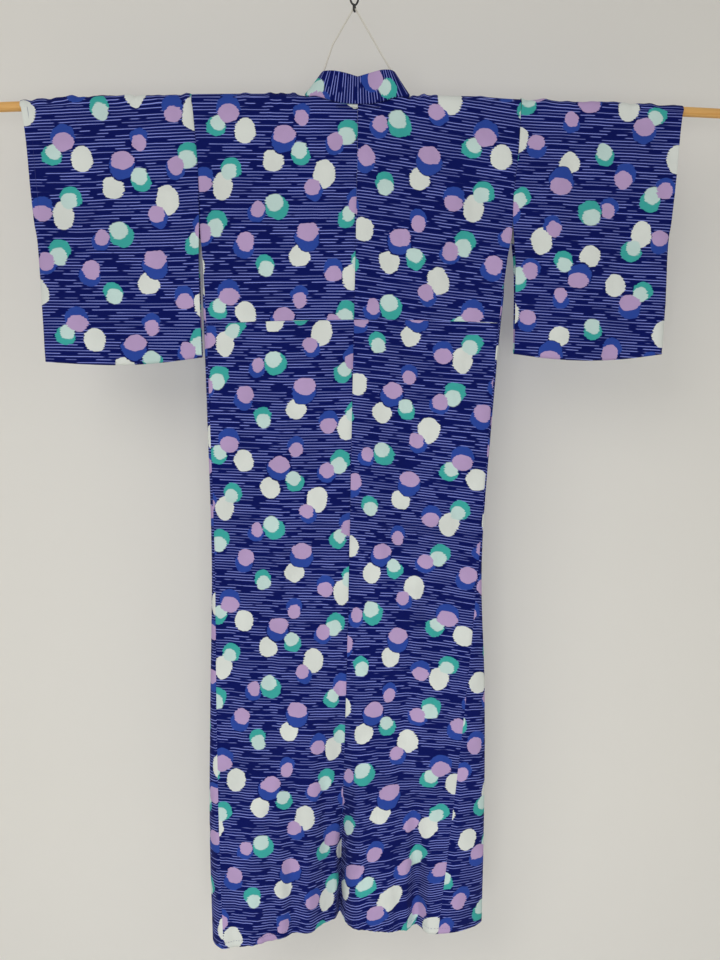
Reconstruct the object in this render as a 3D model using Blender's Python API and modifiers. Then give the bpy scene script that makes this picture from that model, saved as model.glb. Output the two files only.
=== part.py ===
# Cotton yukata robe hung flat on a pale wooden pole.
# Metres, +Z up. +X is the wearer's right, -Y is the side of the garment's back.
# The origin is where the hook hangs: the underside of the top of its upper eye.
# Drops are heights measured down from the top of the cloth over the middle of the pole.

import math

import bmesh
import bpy
import numpy as np

# Cloth and the gap between sewn pieces
WALL = 0.0012
SEAM_GAP = 0.0003

# Pole, cord and hook
HOOK_TOP = 0.198           # the origin's height above the cloth's top
POLE_RADIUS = 0.009
POLE_LENGTH = 1.50
POLE_BOW = 0.030           # drop = POLE_BOW * x^2, the pole's ends sag
POLE_CLEARANCE = 0.0005
CORD_RADIUS = 0.00175
CORD_TIE_X = 0.084         # where the cord is tied round the pole
HOOK_X = -0.005            # the hook's place beside the centre back seam
WIRE_RADIUS = 0.0014
LOWER_EYE_RADIUS = 0.0058
UPPER_EYE_RADIUS = 0.0075
LOWER_EYE_DROP = -0.1555   # the lower eye's bottom, on which the cord hangs
CORD_BEND = (0.0625, -0.052)   # where the cord leaves the collar's inside: x and drop

# Garment sizes
HALF_BACK = 0.3075         # centre back to sleeve seam
ARMHOLE = 0.23             # length of the sleeve seam and of the cuff's opening
SIDE_OPENING_END = 0.38
HEM_DROP = 1.715
NECK_HALF = 0.098
TUCK_DROP = 0.4275
WRAP_RADIUS = 0.0125       # the cloth's arch over the pole
WRAP_STEPS = 6
COLLAR_END = 0.85
COLLAR_WALL = 0.0016
OVER_COLLAR_WALL = 0.0010
OVER_COLLAR_OFFSET = 0.0023
OVER_COLLAR_END = 0.46
KENSAKI = 0.25             # drop of the overlap panel's upper tip
FRONT_LAYER = 0.012        # how far the left front lies over the right one
TURN_DEPTH = 0.008         # half the depth of the body at its side folds

# The body's plan at eight heights: centre back, side seams and the outer side folds
BODY_COLUMNS = ("drop", "centre_x", "back_y", "left_seam_x", "left_seam_y", "left_fold_x", "left_fold_y",
                "right_seam_x", "right_seam_y", "right_fold_x", "right_fold_y")
BODY_ROWS = (
    (0.00, 0.000, -0.0125, -0.3075, -0.0125, -0.3075, 0.0045, 0.3075, -0.0125, 0.3075, 0.0045),
    (0.23, -0.004, -0.0140, -0.3065, -0.0140, -0.3075, 0.0030, 0.3045, -0.0140, 0.3065, 0.0030),
    (0.38, -0.008, -0.0140, -0.3015, -0.0130, -0.3065, 0.0000, 0.2850, -0.0130, 0.2900, 0.0000),
    (0.60, -0.014, -0.0150, -0.2985, -0.0130, -0.3040, -0.0010, 0.2665, -0.0130, 0.2715, -0.0010),
    (0.92, -0.022, -0.0160, -0.2950, -0.0180, -0.3020, -0.0050, 0.2450, -0.0160, 0.2525, -0.0030),
    (1.20, -0.030, -0.0180, -0.2970, -0.0300, -0.3110, -0.0130, 0.2200, -0.0260, 0.2620, -0.0060),
    (1.50, -0.040, -0.0220, -0.2960, -0.0480, -0.3180, -0.0240, 0.1880, -0.0380, 0.2640, -0.0065),
    (1.715, -0.046, -0.0260, -0.2940, -0.0640, -0.3160, -0.0320, 0.1620, -0.0460, 0.2620, -0.0070),
)

# The fronts: the overlap panels' seams and their free edges
FRONT_COLUMNS = ("drop", "right_seam_x", "right_edge_x", "left_seam_x", "left_edge_x")
FRONT_ROWS = (
    (0.25, 0.050, -0.108, -0.050, 0.105),
    (0.60, 0.044, -0.106, -0.060, 0.096),
    (0.92, 0.046, -0.103, -0.073, 0.080),
    (1.20, 0.080, -0.070, -0.104, 0.048),
    (1.50, 0.115, -0.035, -0.121, 0.030),
    (1.715, 0.137, -0.013, -0.125, 0.025),
)
COLLAR_SEAM_END_X = {"right": -0.039, "left": 0.020}

# Soft folds of the back: where each starts, its place at both ends, its depth at the hem and half width
FOLD_COLUMNS = ("start", "x_start", "x_hem", "depth", "half_width")
BACK_FOLDS = (
    (0.92, -0.022, -0.046, 0.070, 0.052),
    (1.30, 0.118, 0.104, 0.020, 0.026),
    (1.10, -0.150, -0.142, 0.012, 0.036),
    (0.70, 0.120, 0.040, -0.006, 0.040),
    (0.50, -0.220, -0.232, -0.006, 0.040),
    (0.05, 0.170, 0.190, 0.004, 0.040),
    (0.05, -0.120, -0.100, 0.004, 0.045),
)
FRONT_BULGE = 0.075        # how far the fronts stand off behind the centre fold at the hem
FRONT_BULGE_WIDTH = 0.12
BULGE_START = 0.92
SEAM_FLAT = 0.004          # the pressed seam at the bottom of the centre fold

BODY_DROPS = (0.03, 0.06, 0.11, 0.17, 0.23, 0.28, 0.33, 0.38, 0.4245, 0.431, 0.47, 0.53, 0.59, 0.65, 0.72, 0.79,
              0.86, 0.92, 0.98, 1.04, 1.10, 1.16, 1.22, 1.28, 1.34, 1.40, 1.46, 1.52, 1.58, 1.64, 1.685, 1.715)
TUCK_STEP = 0.0015         # the cloth below the waist tuck lies this much further in
SHOULDER_FOOT = 0.012      # drop at which the cloth leaves the arch over the pole
SHOULDER_BLEND = 0.10      # height over which it settles into the hanging panels
ROW_STEP = 0.008           # least height between the arch's foot and the next row

# Neck: how far the back's cut lies below the shoulder, from the centre outwards
NECK_COLUMNS = ("x", "drop")
NECK_STANDOFF = 0.0027     # how far the back stands off behind the shoulder's arch under the collar
NECK_STANDOFF_X = 0.082
NECK_STANDOFF_FADE = 0.016
NECK_ROWS = ((0.000, 0.0200), (0.030, 0.0190), (0.060, 0.0118), (0.080, 0.0059), (0.098, 0.0069))

# Collar: its sewn edge and its free edge round the neck, right half, from the centre back forward
COLLAR_COLUMNS = ("seam_x", "seam_y", "seam_drop", "edge_x", "edge_y", "edge_drop")
COLLAR_ROWS = (
    (0.0000, -0.0165, 0.0193, 0.0000, -0.0190, -0.0320),
    (0.0280, -0.0165, 0.0184, 0.0230, -0.0192, -0.0350),
    (0.0560, -0.0168, 0.0120, 0.0450, -0.0188, -0.0425),
    (0.0800, -0.0165, 0.0054, 0.0610, -0.0165, -0.0475),
    (0.0965, -0.0125, 0.0056, 0.0690, -0.0080, -0.0490),
    (0.0988, -0.0060, 0.0000, 0.0715, 0.0020, -0.0480),
    (0.0988, 0.0050, -0.0003, 0.0695, 0.0120, -0.0430),
    (0.0975, 0.0130, 0.0060, 0.0610, 0.0195, -0.0320),
    (0.0948, 0.0168, 0.0150, 0.0455, 0.0205, -0.0010),
)
COLLAR_NECK_WIDTH = 0.056
COLLAR_END_WIDTH = 0.066
COLLAR_FRONT_DROPS = (0.028, 0.042, 0.06, 0.09, 0.13, 0.17, 0.21, 0.25, 0.30, 0.36, 0.42, 0.48, 0.54, 0.60,
                      0.66, 0.72, 0.78, 0.82, 0.848)
NECK_STATIONS = 26
NECK_LIFT = 0.005          # how far the collar stands off the fronts beside the neck
BAND_STEPS = (0.0, 0.5, 1.0)

# Sleeves: outer edge and lower edge, a row for each height or place across
SLEEVE_EDGE_COLUMNS = ("drop", "left_x", "right_x")
SLEEVE_EDGE_ROWS = (
    (0.012, -0.6400, 0.6360), (0.060, -0.6340, 0.6310), (0.160, -0.6280, 0.6250), (0.270, -0.6220, 0.6180),
    (0.400, -0.6200, 0.6170), (0.510, -0.6180, 0.6130),
)
SLEEVE_HEM_COLUMNS = ("across", "left_drop", "right_drop")
SLEEVE_HEM_ROWS = ((0.0, 0.497, 0.492), (0.25, 0.507, 0.502), (0.5, 0.512, 0.506), (0.75, 0.510, 0.503),
                   (1.0, 0.505, 0.494))
SLEEVE_INNER_COLUMNS = ("drop", "left_x", "right_x")
SLEEVE_INNER_ROWS = ((0.00, -0.3078, 0.3078), (0.23, -0.3078, 0.3078), (0.34, -0.3115, 0.3120),
                     (0.51, -0.3110, 0.3130))
SLEEVE_STEPS_ACROSS = 10
SLEEVE_ROWS_DOWN = (0.04, 0.10, 0.165, 0.23, 0.27, 0.31, 0.36, 0.41, 0.455, 0.485)
SLEEVE_RESTING_Y = (-0.0085, 0.0045)
SLEEVE_WAVES = (("phase", "waves", "depth"), (0.4, 1.6, 0.0016), (2.1, 2.6, 0.0010))

COLOURS = {
    "cloth": (0.010, 0.012, 0.160, 1.0),
    "wood": (0.80, 0.47, 0.16, 1.0),
    "cord": (0.82, 0.80, 0.74, 1.0),
    "metal": (0.02, 0.02, 0.02, 1.0),
}


def column(rows, names, name):
    return np.array([row[names.index(name)] for row in rows])


def smooth(at, places, values):
    """Cubic curve through a table's column, flat beyond its ends."""
    at = np.clip(np.asarray(at, float), places[0], places[-1])
    slopes = np.gradient(values, places)
    i = np.clip(np.searchsorted(places, at, side="right") - 1, 0, len(places) - 2)
    step = places[i + 1] - places[i]
    t = (at - places[i]) / step
    start = (1 + 2 * t) * (1 - t) ** 2 * values[i] + t * (1 - t) ** 2 * step * slopes[i]
    end = t ** 2 * (3 - 2 * t) * values[i + 1] + t ** 2 * (t - 1) * step * slopes[i + 1]
    return start + end


def body_at(name, drop):
    return smooth(drop, column(BODY_ROWS, BODY_COLUMNS, "drop"), column(BODY_ROWS, BODY_COLUMNS, name))


def front_at(name, drop):
    return smooth(drop, column(FRONT_ROWS, FRONT_COLUMNS, "drop"), column(FRONT_ROWS, FRONT_COLUMNS, name))


def ease(t):
    t = np.clip(t, 0, 1)
    return t * t * (3 - 2 * t)


def bump(distance, half_width):
    return 0.5 + 0.5 * np.cos(np.pi * np.clip(np.abs(distance) / half_width, 0, 1))


def cloth_top(x):
    return POLE_BOW * np.asarray(x, float) ** 2


def neck_standoff(x):
    return NECK_STANDOFF * (1 - ease((np.abs(x) - NECK_STANDOFF_X) / NECK_STANDOFF_FADE))


def back_y(x, drop, side):
    """Depth of the back panels: a base that leans out to the side seam, plus the soft folds."""
    centre = body_at("centre_x", drop)
    seam = body_at(side + "_seam_x", drop)
    across = np.clip((x - centre) / (seam - centre), 0, 1)
    lean = across ** (1.3 if side == "left" else 3.0)
    base = body_at("back_y", drop)
    y = base + (body_at(side + "_seam_y", drop) - base) * lean
    for row in BACK_FOLDS:
        fold = dict(zip(FOLD_COLUMNS, row))
        grown = (drop - fold["start"]) / (HEM_DROP - fold["start"])
        place = fold["x_start"] + (fold["x_hem"] - fold["x_start"]) * np.clip(grown, 0, 1)
        distance = np.maximum(np.abs(x - place) - SEAM_FLAT, 0)
        y = y + fold["depth"] * ease(grown) * bump(distance, fold["half_width"])
    near_neck = neck_standoff(x) * (1 - ease((drop - 0.02) / SHOULDER_BLEND))
    return y - near_neck + TUCK_STEP * ease((drop - TUCK_DROP + 0.003) / 0.006) * (1 - lean)


def front_y(x, drop, side):
    """Depth of the fronts. The left front runs over the right one near the centre."""
    left = body_at("left_fold_y", drop) + TURN_DEPTH
    right = body_at("right_fold_y", drop) + TURN_DEPTH
    across = np.clip((x + HALF_BACK) / (2 * HALF_BACK), 0, 1)
    grown = ease((drop - BULGE_START) / (HEM_DROP - BULGE_START))
    off_centre = (x - body_at("centre_x", drop)) / FRONT_BULGE_WIDTH
    y = left + (right - left) * across + FRONT_BULGE * grown * np.exp(-off_centre ** 2)
    if side == "left":
        y = y + FRONT_LAYER * ease((x + 0.165) / 0.05) * ease((drop - 0.04) / 0.12)
    return y


def to_world(x, y, drop):
    """Points measured from the hook instead of from the cloth's top at the centre back."""
    x, y, drop = np.broadcast_arrays(x, y, drop)
    return np.stack([x - HOOK_X, y, -HOOK_TOP - drop], axis=-1)


def material(name, colour, roughness, metallic=0.0):
    made = bpy.data.materials.new(name)
    made.use_nodes = True
    shader = made.node_tree.nodes["Principled BSDF"]
    shader.inputs["Base Color"].default_value = colour
    shader.inputs["Roughness"].default_value = roughness
    shader.inputs["Metallic"].default_value = metallic
    return made


def sheet_object(name, points, faces, wall, finish, collection, offset=0.0):
    """An open sheet of cloth with a wall of the given thickness round its middle surface."""
    mesh = bpy.data.meshes.new(name)
    mesh.from_pydata([tuple(p) for p in points], [], faces)
    mesh.validate()
    edit = bmesh.new()
    edit.from_mesh(mesh)
    bmesh.ops.recalc_face_normals(edit, faces=edit.faces)
    edit.to_mesh(mesh)
    edit.free()
    mesh.shade_smooth()
    made = bpy.data.objects.new(name, mesh)
    made.data.materials.append(finish)
    collection.objects.link(made)
    solid = made.modifiers.new("wall", "SOLIDIFY")
    solid.thickness = wall
    solid.offset = offset
    solid.use_even_offset = False
    solid.use_rim = True
    return made


def grid_faces(index, closed=False):
    """Quads between the neighbouring entries of a 2-D array of point numbers."""
    index = np.vstack([index, index[:1]]) if closed else index
    corners = np.stack([index[:-1, :-1], index[:-1, 1:], index[1:, 1:], index[1:, :-1]], axis=-1)
    return [tuple(int(i) for i in face) for face in corners.reshape(-1, 4)]


def wrap_points(x, step):
    """A point of the arch over the pole: step 0 is its back foot, WRAP_STEPS its front foot."""
    angle = np.pi * step / WRAP_STEPS
    top = cloth_top(x) + WALL / 2
    return -WRAP_RADIUS * np.cos(angle), top + WRAP_RADIUS * (1 - np.sin(angle))


def body_columns():
    neck = np.linspace(0, NECK_HALF, 6)
    neck = np.insert(neck, 1, 0.005)
    shoulder = np.linspace(NECK_HALF, HALF_BACK - SEAM_GAP / 2, 11)
    return np.concatenate([neck, shoulder[1:]]), len(neck) - 1


def back_points(side, sign):
    """Rows from below the shoulder to the hem, columns from the centre seam to the side seam."""
    offsets, _ = body_columns()
    drops = np.array(BODY_DROPS)[:, None]
    centre = body_at("centre_x", drops) * ease(drops / 0.2) + sign * SEAM_GAP / 2
    seam = np.where(drops < ARMHOLE + 0.001, sign * offsets[-1], body_at(side + "_seam_x", drops))
    across = offsets / offsets[-1]
    x = centre + (seam - centre) * across
    x[:, 1] = centre[:, 0] + sign * 0.005
    start = cloth_top(x) + WALL / 2 + WRAP_RADIUS
    drop = np.maximum(drops, start + ROW_STEP) + 0 * x
    blend = ease((drops - SHOULDER_FOOT) / SHOULDER_BLEND)
    shoulder_y = -WRAP_RADIUS - neck_standoff(x)
    y = shoulder_y + (back_y(x, drops, side) - shoulder_y) * blend
    return to_world(x, y, drop)


def neck_points(side, sign):
    """The back's last row, at the neck cut and on the first step of the arch over the pole."""
    offsets, neck_last = body_columns()
    x = sign * offsets
    x[0] = sign * SEAM_GAP / 2
    foot_y, foot_drop = wrap_points(x, 0)
    step_y, step_drop = wrap_points(x, 1)
    cut = smooth(np.abs(x), column(NECK_ROWS, NECK_COLUMNS, "x"), column(NECK_ROWS, NECK_COLUMNS, "drop"))
    inside = np.arange(len(x)) < neck_last
    neck_y = -WRAP_RADIUS - neck_standoff(x)
    foot = to_world(x, np.where(inside, neck_y, foot_y), np.where(inside, cut + 0.006, foot_drop))
    first = to_world(x, np.where(inside, neck_y, step_y), np.where(inside, cut, step_drop))
    return foot, first


def front_edge_x(side, drop):
    """Where a body front ends: at the collar above the overlap panel's tip, at the panel's seam below."""
    sign = 1 if side == "right" else -1
    upper = sign * (NECK_HALF + (front_at("right_seam_x", KENSAKI) - NECK_HALF) * drop / KENSAKI)
    lower = front_at(side + "_seam_x", drop)
    return np.where(drop < KENSAKI, upper, lower) + sign * SEAM_GAP / 2


def front_points(side, sign):
    """Columns from the side seam out to the side fold, round it and in to the front edge."""
    drops = np.array(BODY_DROPS)[:, None]
    seam_x, seam_y = body_at(side + "_seam_x", drops), body_at(side + "_seam_y", drops)
    fold_x, fold_y = body_at(side + "_fold_x", drops), body_at(side + "_fold_y", drops)
    edge = front_edge_x(side, drops)
    control_x = fold_x - 0.1 * (fold_x - seam_x)
    control_y = seam_y + 0.35 * (fold_y - seam_y)
    t = np.array([[0.0, 0.36, 0.72, 1.0]])
    turn_x = (1 - t) ** 2 * seam_x + 2 * t * (1 - t) * control_x + t ** 2 * fold_x
    turn_y = (1 - t) ** 2 * seam_y + 2 * t * (1 - t) * control_y + t ** 2 * fold_y
    inner = np.linspace(0, 1, 7)[None, :]
    start = fold_x - sign * 0.004
    front_x = start + (edge - start) * inner
    folded = np.hstack([turn_x, front_x])
    folded_y = np.hstack([turn_y, front_y(front_x, drops, side)])
    side_x = sign * (HALF_BACK - SEAM_GAP / 2) + 0 * drops
    side_x = np.where(drops > ARMHOLE + 0.001, body_at(side + "_fold_x", drops), side_x)
    flat = side_x + (edge - side_x) * np.linspace(0, 1, 11)[None, :]
    open_x = folded + (flat - folded) * (1 - ease((drops - 0.10) / (SIDE_OPENING_END - 0.10)))
    gather = side_x + (open_x[:, 3:4] - side_x) * np.array([[0, 0.34, 0.67]])
    x = np.where(drops < SIDE_OPENING_END - 0.001, np.hstack([gather, open_x[:, 3:]]), folded)
    flat_y = front_y(x, drops, side)
    y = np.where(drops < SIDE_OPENING_END - 0.001, flat_y, folded_y)
    blend = ease((drops - SHOULDER_FOOT) / SHOULDER_BLEND)
    y = WRAP_RADIUS + (y - WRAP_RADIUS) * blend
    foot = cloth_top(x) + WALL / 2 + WRAP_RADIUS
    return to_world(x, y, np.maximum(drops, foot + ROW_STEP))


def make_body(side, finish, collection):
    """One strip from the back hem over the shoulder to the front hem, its side seam closed below the side
    opening. The neck is cut out of it, and the arch over the pole joins back and front."""
    sign = 1 if side == "right" else -1
    offsets, neck_last = body_columns()
    back = back_points(side, sign)
    foot, first = neck_points(side, sign)
    front = front_points(side, sign)
    rows, columns = len(BODY_DROPS), len(offsets)
    points = [foot.reshape(-1, 3), back.reshape(-1, 3), first.reshape(-1, 3)]
    back_index = np.arange((rows + 1) * columns).reshape(rows + 1, columns)
    first_index = back_index.max() + 1 + np.arange(columns)
    faces = grid_faces(np.vstack([first_index, back_index]))
    count = first_index[-1] + 1
    arch = [first_index[neck_last:][::-1]]
    shoulder_x = sign * offsets[neck_last:][::-1]
    for step in range(2, WRAP_STEPS + 1):
        y, drop = wrap_points(shoulder_x, step)
        points.append(to_world(shoulder_x, y, drop))
        arch.append(count + np.arange(len(shoulder_x)))
        count += len(shoulder_x)
    faces += grid_faces(np.array(arch))
    front_index = count + np.arange(rows * front.shape[1]).reshape(rows, front.shape[1])
    points.append(front.reshape(-1, 3))
    closed = np.array(BODY_DROPS) > SIDE_OPENING_END - 0.001
    front_index[closed, 0] = back_index[1:][closed, -1]
    faces += grid_faces(np.vstack([arch[-1], front_index]))
    return sheet_object("body_" + side, np.concatenate(points), faces, WALL, finish, collection)


def collar_seam_x(side, drop):
    """The line along which the collar is sewn to the front edge, down to the collar's end."""
    sign = 1 if side == "right" else -1
    upper = front_edge_x(side, np.minimum(drop, KENSAKI - 1e-6)) - sign * SEAM_GAP / 2
    start = sign * front_at("right_seam_x", KENSAKI)
    along = (drop - KENSAKI) / (COLLAR_END - KENSAKI)
    lower = start + (COLLAR_SEAM_END_X[side] - start) * along
    return np.where(drop < KENSAKI, upper, lower)


def make_overlap_panel(side, finish, collection):
    """The narrow front panel: its upper tip lies at the collar, and its free edge runs down from the collar."""
    sign = 1 if side == "right" else -1
    drops = np.concatenate([np.linspace(KENSAKI + 0.02, COLLAR_END + 0.0005, 10),
                            np.linspace(COLLAR_END + 0.002, HEM_DROP, 15)])[:, None]
    seam = front_at(side + "_seam_x", drops) - sign * SEAM_GAP / 2
    beside = collar_seam_x(side, drops) + sign * SEAM_GAP
    edge = np.where(drops < COLLAR_END + 0.001, beside, front_at(side + "_edge_x", drops))
    x = seam + (edge - seam) * np.linspace(0, 1, 7)[None, :]
    points = to_world(x, front_y(x, drops, side), drops)
    faces = grid_faces(np.arange(x.size).reshape(x.shape))
    return sheet_object("okumi_" + side, points.reshape(-1, 3), faces, WALL, finish, collection)


def collar_half(side):
    """Sewn edge and free edge of half the collar, from the centre back to its front end."""
    sign = 1 if side == "right" else -1
    places = np.arange(len(COLLAR_ROWS))
    at = np.linspace(0, places[-1], NECK_STATIONS + 1)
    neck = {name: smooth(at, places, column(COLLAR_ROWS, COLLAR_COLUMNS, name)) for name in COLLAR_COLUMNS}
    seam = to_world(sign * neck["seam_x"], neck["seam_y"], neck["seam_drop"])
    edge = to_world(sign * neck["edge_x"], neck["edge_y"], neck["edge_drop"])
    drops = np.array(COLLAR_FRONT_DROPS)
    seam_x = collar_seam_x(side, drops)
    slope = np.gradient(seam_x, drops)
    width = COLLAR_NECK_WIDTH + (COLLAR_END_WIDTH - COLLAR_NECK_WIDTH) * ease((drops - 0.3) / 0.5)
    length = np.sqrt(1 + slope ** 2)
    edge_x = seam_x - sign * width / length
    edge_drop = drops + sign * width * slope / length
    settle = NECK_LIFT * (1 - ease((drops - 0.02) / 0.12))
    front_seam = to_world(seam_x, front_y(seam_x, drops, side) + settle, drops)
    front_edge = to_world(edge_x, front_y(edge_x, np.maximum(edge_drop, 0), side) + settle, edge_drop)
    return np.concatenate([seam, front_seam]), np.concatenate([edge, front_edge])


def collar_band():
    """Both halves joined at the centre back, from the left end round the neck to the right end."""
    right_seam, right_edge = collar_half("right")
    left_seam, left_edge = collar_half("left")
    return np.concatenate([left_seam[:0:-1], right_seam]), np.concatenate([left_edge[:0:-1], right_edge])


def band_normals(seam, edge, across):
    """Unit normals of the band along the line that lies this share of the way across it."""
    along = np.gradient(seam + (edge - seam) * across, axis=0)
    normal = np.cross(along, edge - seam)
    return normal / np.linalg.norm(normal, axis=1, keepdims=True)


def make_collar(finish, collection):
    seam, edge = collar_band()
    across = np.array(BAND_STEPS)[None, :, None]
    points = seam[:, None] + (edge - seam)[:, None] * across
    faces = grid_faces(np.arange(points.shape[0] * points.shape[1]).reshape(points.shape[:2]))
    return sheet_object("collar", points.reshape(-1, 3), faces, COLLAR_WALL, finish, collection)


def make_over_collar(finish, collection):
    """The second band: it lies on both faces of the collar and wraps its free edge."""
    seam, edge = collar_band()
    beyond_end = len(COLLAR_FRONT_DROPS) - int(np.searchsorted(COLLAR_FRONT_DROPS, OVER_COLLAR_END))
    kept = slice(beyond_end, len(seam) - beyond_end)
    direction = (edge - seam) / np.linalg.norm(edge - seam, axis=1, keepdims=True)
    faces_out = [(across, 1.0, 0.0) for across in BAND_STEPS]
    faces_in = [(across, -1.0, 0.0) for across in BAND_STEPS[::-1]]
    rings = []
    for across, face, beyond in faces_out + [(1.0, 0.0, 1.0)] + faces_in:
        middle = seam + (edge - seam) * across
        normal = band_normals(seam, edge, across)
        rings.append((middle + (normal * face + direction * beyond) * OVER_COLLAR_OFFSET)[kept])
    points = np.stack(rings, axis=1)
    faces = grid_faces(np.arange(points.shape[0] * points.shape[1]).reshape(points.shape[:2]))
    return sheet_object("over_collar", points.reshape(-1, 3), faces, OVER_COLLAR_WALL, finish, collection)


def sleeve_x(side, drop, across):
    inner = smooth(drop, column(SLEEVE_INNER_ROWS, SLEEVE_INNER_COLUMNS, "drop"),
                   column(SLEEVE_INNER_ROWS, SLEEVE_INNER_COLUMNS, side + "_x"))
    outer = smooth(drop, column(SLEEVE_EDGE_ROWS, SLEEVE_EDGE_COLUMNS, "drop"),
                   column(SLEEVE_EDGE_ROWS, SLEEVE_EDGE_COLUMNS, side + "_x"))
    sign = 1 if side == "right" else -1
    inner = sign * np.maximum(sign * inner, HALF_BACK + SEAM_GAP / 2)
    return inner + (outer - inner) * across


def sleeve_layers(x, drop, across):
    """Depth of the sleeve's back and front layers, which draw together towards the hem."""
    settled = ease((drop - 0.10) / 0.34) * ease(across / 0.25 + ease((drop - ARMHOLE) / 0.15))
    wave = sum(depth * np.sin(2 * np.pi * waves * across + phase) for phase, waves, depth in SLEEVE_WAVES[1:])
    wave = wave * ease(drop / 0.2) * ease(across / 0.15)
    back_start = -WRAP_RADIUS - 0.0015 * ease(drop / 0.11)
    front_start = WRAP_RADIUS - 0.0015 * ease(drop / 0.11)
    back = back_start + (SLEEVE_RESTING_Y[0] - back_start) * settled + wave
    front = front_start + (SLEEVE_RESTING_Y[1] - front_start) * settled + wave
    return back, front


def make_sleeve(side, finish, collection):
    """One strip folded over the pole and sewn shut below. Its outer edge is closed under the cuff's opening,
    and its inner edge is open under the armhole."""
    sign = 1 if side == "right" else -1
    across = np.linspace(0, 1, SLEEVE_STEPS_ACROSS + 1)
    hem = smooth(across, column(SLEEVE_HEM_ROWS, SLEEVE_HEM_COLUMNS, "across"),
                 column(SLEEVE_HEM_ROWS, SLEEVE_HEM_COLUMNS, side + "_drop"))
    back_rows, front_rows = [], []
    for down in SLEEVE_ROWS_DOWN:
        drop = np.where(down > ARMHOLE, ARMHOLE + (down - ARMHOLE) * (hem - 0.004 - ARMHOLE)
                        / (SLEEVE_ROWS_DOWN[-1] - ARMHOLE), down + 0 * across)
        x = sleeve_x(side, drop, across)
        back, front = sleeve_layers(x, drop, across)
        back_rows.append(to_world(x, back, drop))
        front_rows.append(to_world(x, front, drop))
    top_x = sleeve_x(side, 0.0 * across, across)
    arch = [to_world(top_x, *wrap_points(top_x, step)) for step in range(WRAP_STEPS + 1)]
    bottom_x = sleeve_x(side, hem, across)
    back_low, front_low = sleeve_layers(bottom_x, hem, across)
    bottom = to_world(bottom_x, (back_low + front_low) / 2, hem + 0.003)
    ring = [bottom] + back_rows[::-1] + arch + front_rows
    index = np.arange(len(ring) * len(across)).reshape(len(ring), len(across))
    faces = grid_faces(index, closed=True)
    points = list(np.concatenate(ring))
    back_last = index[1:len(back_rows) + 1, -1][::-1]
    front_last = index[-len(front_rows):, -1]
    closed = [i for i, down in enumerate(SLEEVE_ROWS_DOWN) if down >= ARMHOLE]
    outer = []
    for i in closed:
        middle = (points[back_last[i]] + points[front_last[i]]) / 2
        middle = middle + np.array([sign * 0.0035, 0, 0])
        outer.append(len(points))
        points.append(middle)
    for i, (above, below) in enumerate(zip(closed[:-1], closed[1:])):
        faces.append((int(back_last[above]), int(back_last[below]), outer[i + 1], outer[i]))
        faces.append((int(front_last[below]), int(front_last[above]), outer[i], outer[i + 1]))
    corner = int(index[0, -1])
    faces.append((int(back_last[-1]), corner, outer[-1]))
    faces.append((int(front_last[-1]), outer[-1], corner))
    return sheet_object("sleeve_" + side, points, faces, WALL, finish, collection)


def tube(name, points, radius, resolution, finish, collection):
    curve = bpy.data.curves.new(name, "CURVE")
    curve.dimensions = "3D"
    curve.bevel_depth = radius
    curve.bevel_resolution = resolution
    curve.use_fill_caps = True
    spline = curve.splines.new("POLY")
    spline.points.add(len(points) - 1)
    for point, place in zip(spline.points, points):
        point.co = (*(float(v) for v in place), 1.0)
    made = bpy.data.objects.new(name, curve)
    curve.materials.append(finish)
    collection.objects.link(made)
    return made


def pole_centre_drop(x):
    return cloth_top(x) + WALL + POLE_CLEARANCE + POLE_RADIUS


def make_pole(finish, collection):
    x = np.linspace(-POLE_LENGTH / 2, POLE_LENGTH / 2, 25)
    return tube("pole", to_world(x, 0 * x, pole_centre_drop(x)), POLE_RADIUS, 4, finish, collection)


def cord_apex_drop():
    """The cord's middle line lies on the wire of the hook's lower eye."""
    return LOWER_EYE_DROP - WIRE_RADIUS - CORD_RADIUS - SEAM_GAP


def hook_heights():
    """Drops of the two eyes' centres."""
    upper_top = -HOOK_TOP - WIRE_RADIUS
    upper_centre = upper_top + UPPER_EYE_RADIUS
    return {"upper_centre": upper_centre, "lower_centre": LOWER_EYE_DROP - LOWER_EYE_RADIUS}


def make_cord(finish, collection):
    """From a turn round the pole up over the hook's lower eye and down to a turn on the other side."""
    reach = POLE_RADIUS + CORD_RADIUS + SEAM_GAP
    angles = np.linspace(-1.5 * math.pi, 0.5 * math.pi, 18)

    def leg(sign):
        tie_x = sign * CORD_TIE_X
        centre = pole_centre_drop(tie_x)
        turn_x = tie_x + sign * (2 * CORD_RADIUS + SEAM_GAP) * np.linspace(1, 0, len(angles))
        turn = to_world(turn_x, reach * np.cos(angles), centre - reach * np.sin(angles))
        apex = cord_apex_drop()
        start = np.array([tie_x - sign * 0.001, 0.0, centre - reach - 0.004])
        bend = np.array([sign * CORD_BEND[0], 0.0, CORD_BEND[1]])
        end = np.array([HOOK_X + sign * 0.0044, 0.0, apex + 0.0034])
        first = start + (bend - start) * np.linspace(0, 1, 5)[:, None]
        second = bend + (end - bend) * np.linspace(0, 1, 6)[1:, None]
        run = np.concatenate([first, second])
        return np.concatenate([turn, to_world(run[:, 0], run[:, 1], run[:, 2])])

    left, right = leg(-1), leg(1)
    around = np.radians([-38, -19, 0, 19, 38])
    over_x = HOOK_X + 0.005 * np.sin(around)
    over = to_world(over_x, 0 * over_x, cord_apex_drop() + 0.005 * (1 - np.cos(around)))
    points = np.concatenate([left, over, right[::-1]])
    return tube("hanging_cord", points, CORD_RADIUS, 2, finish, collection)


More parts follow.
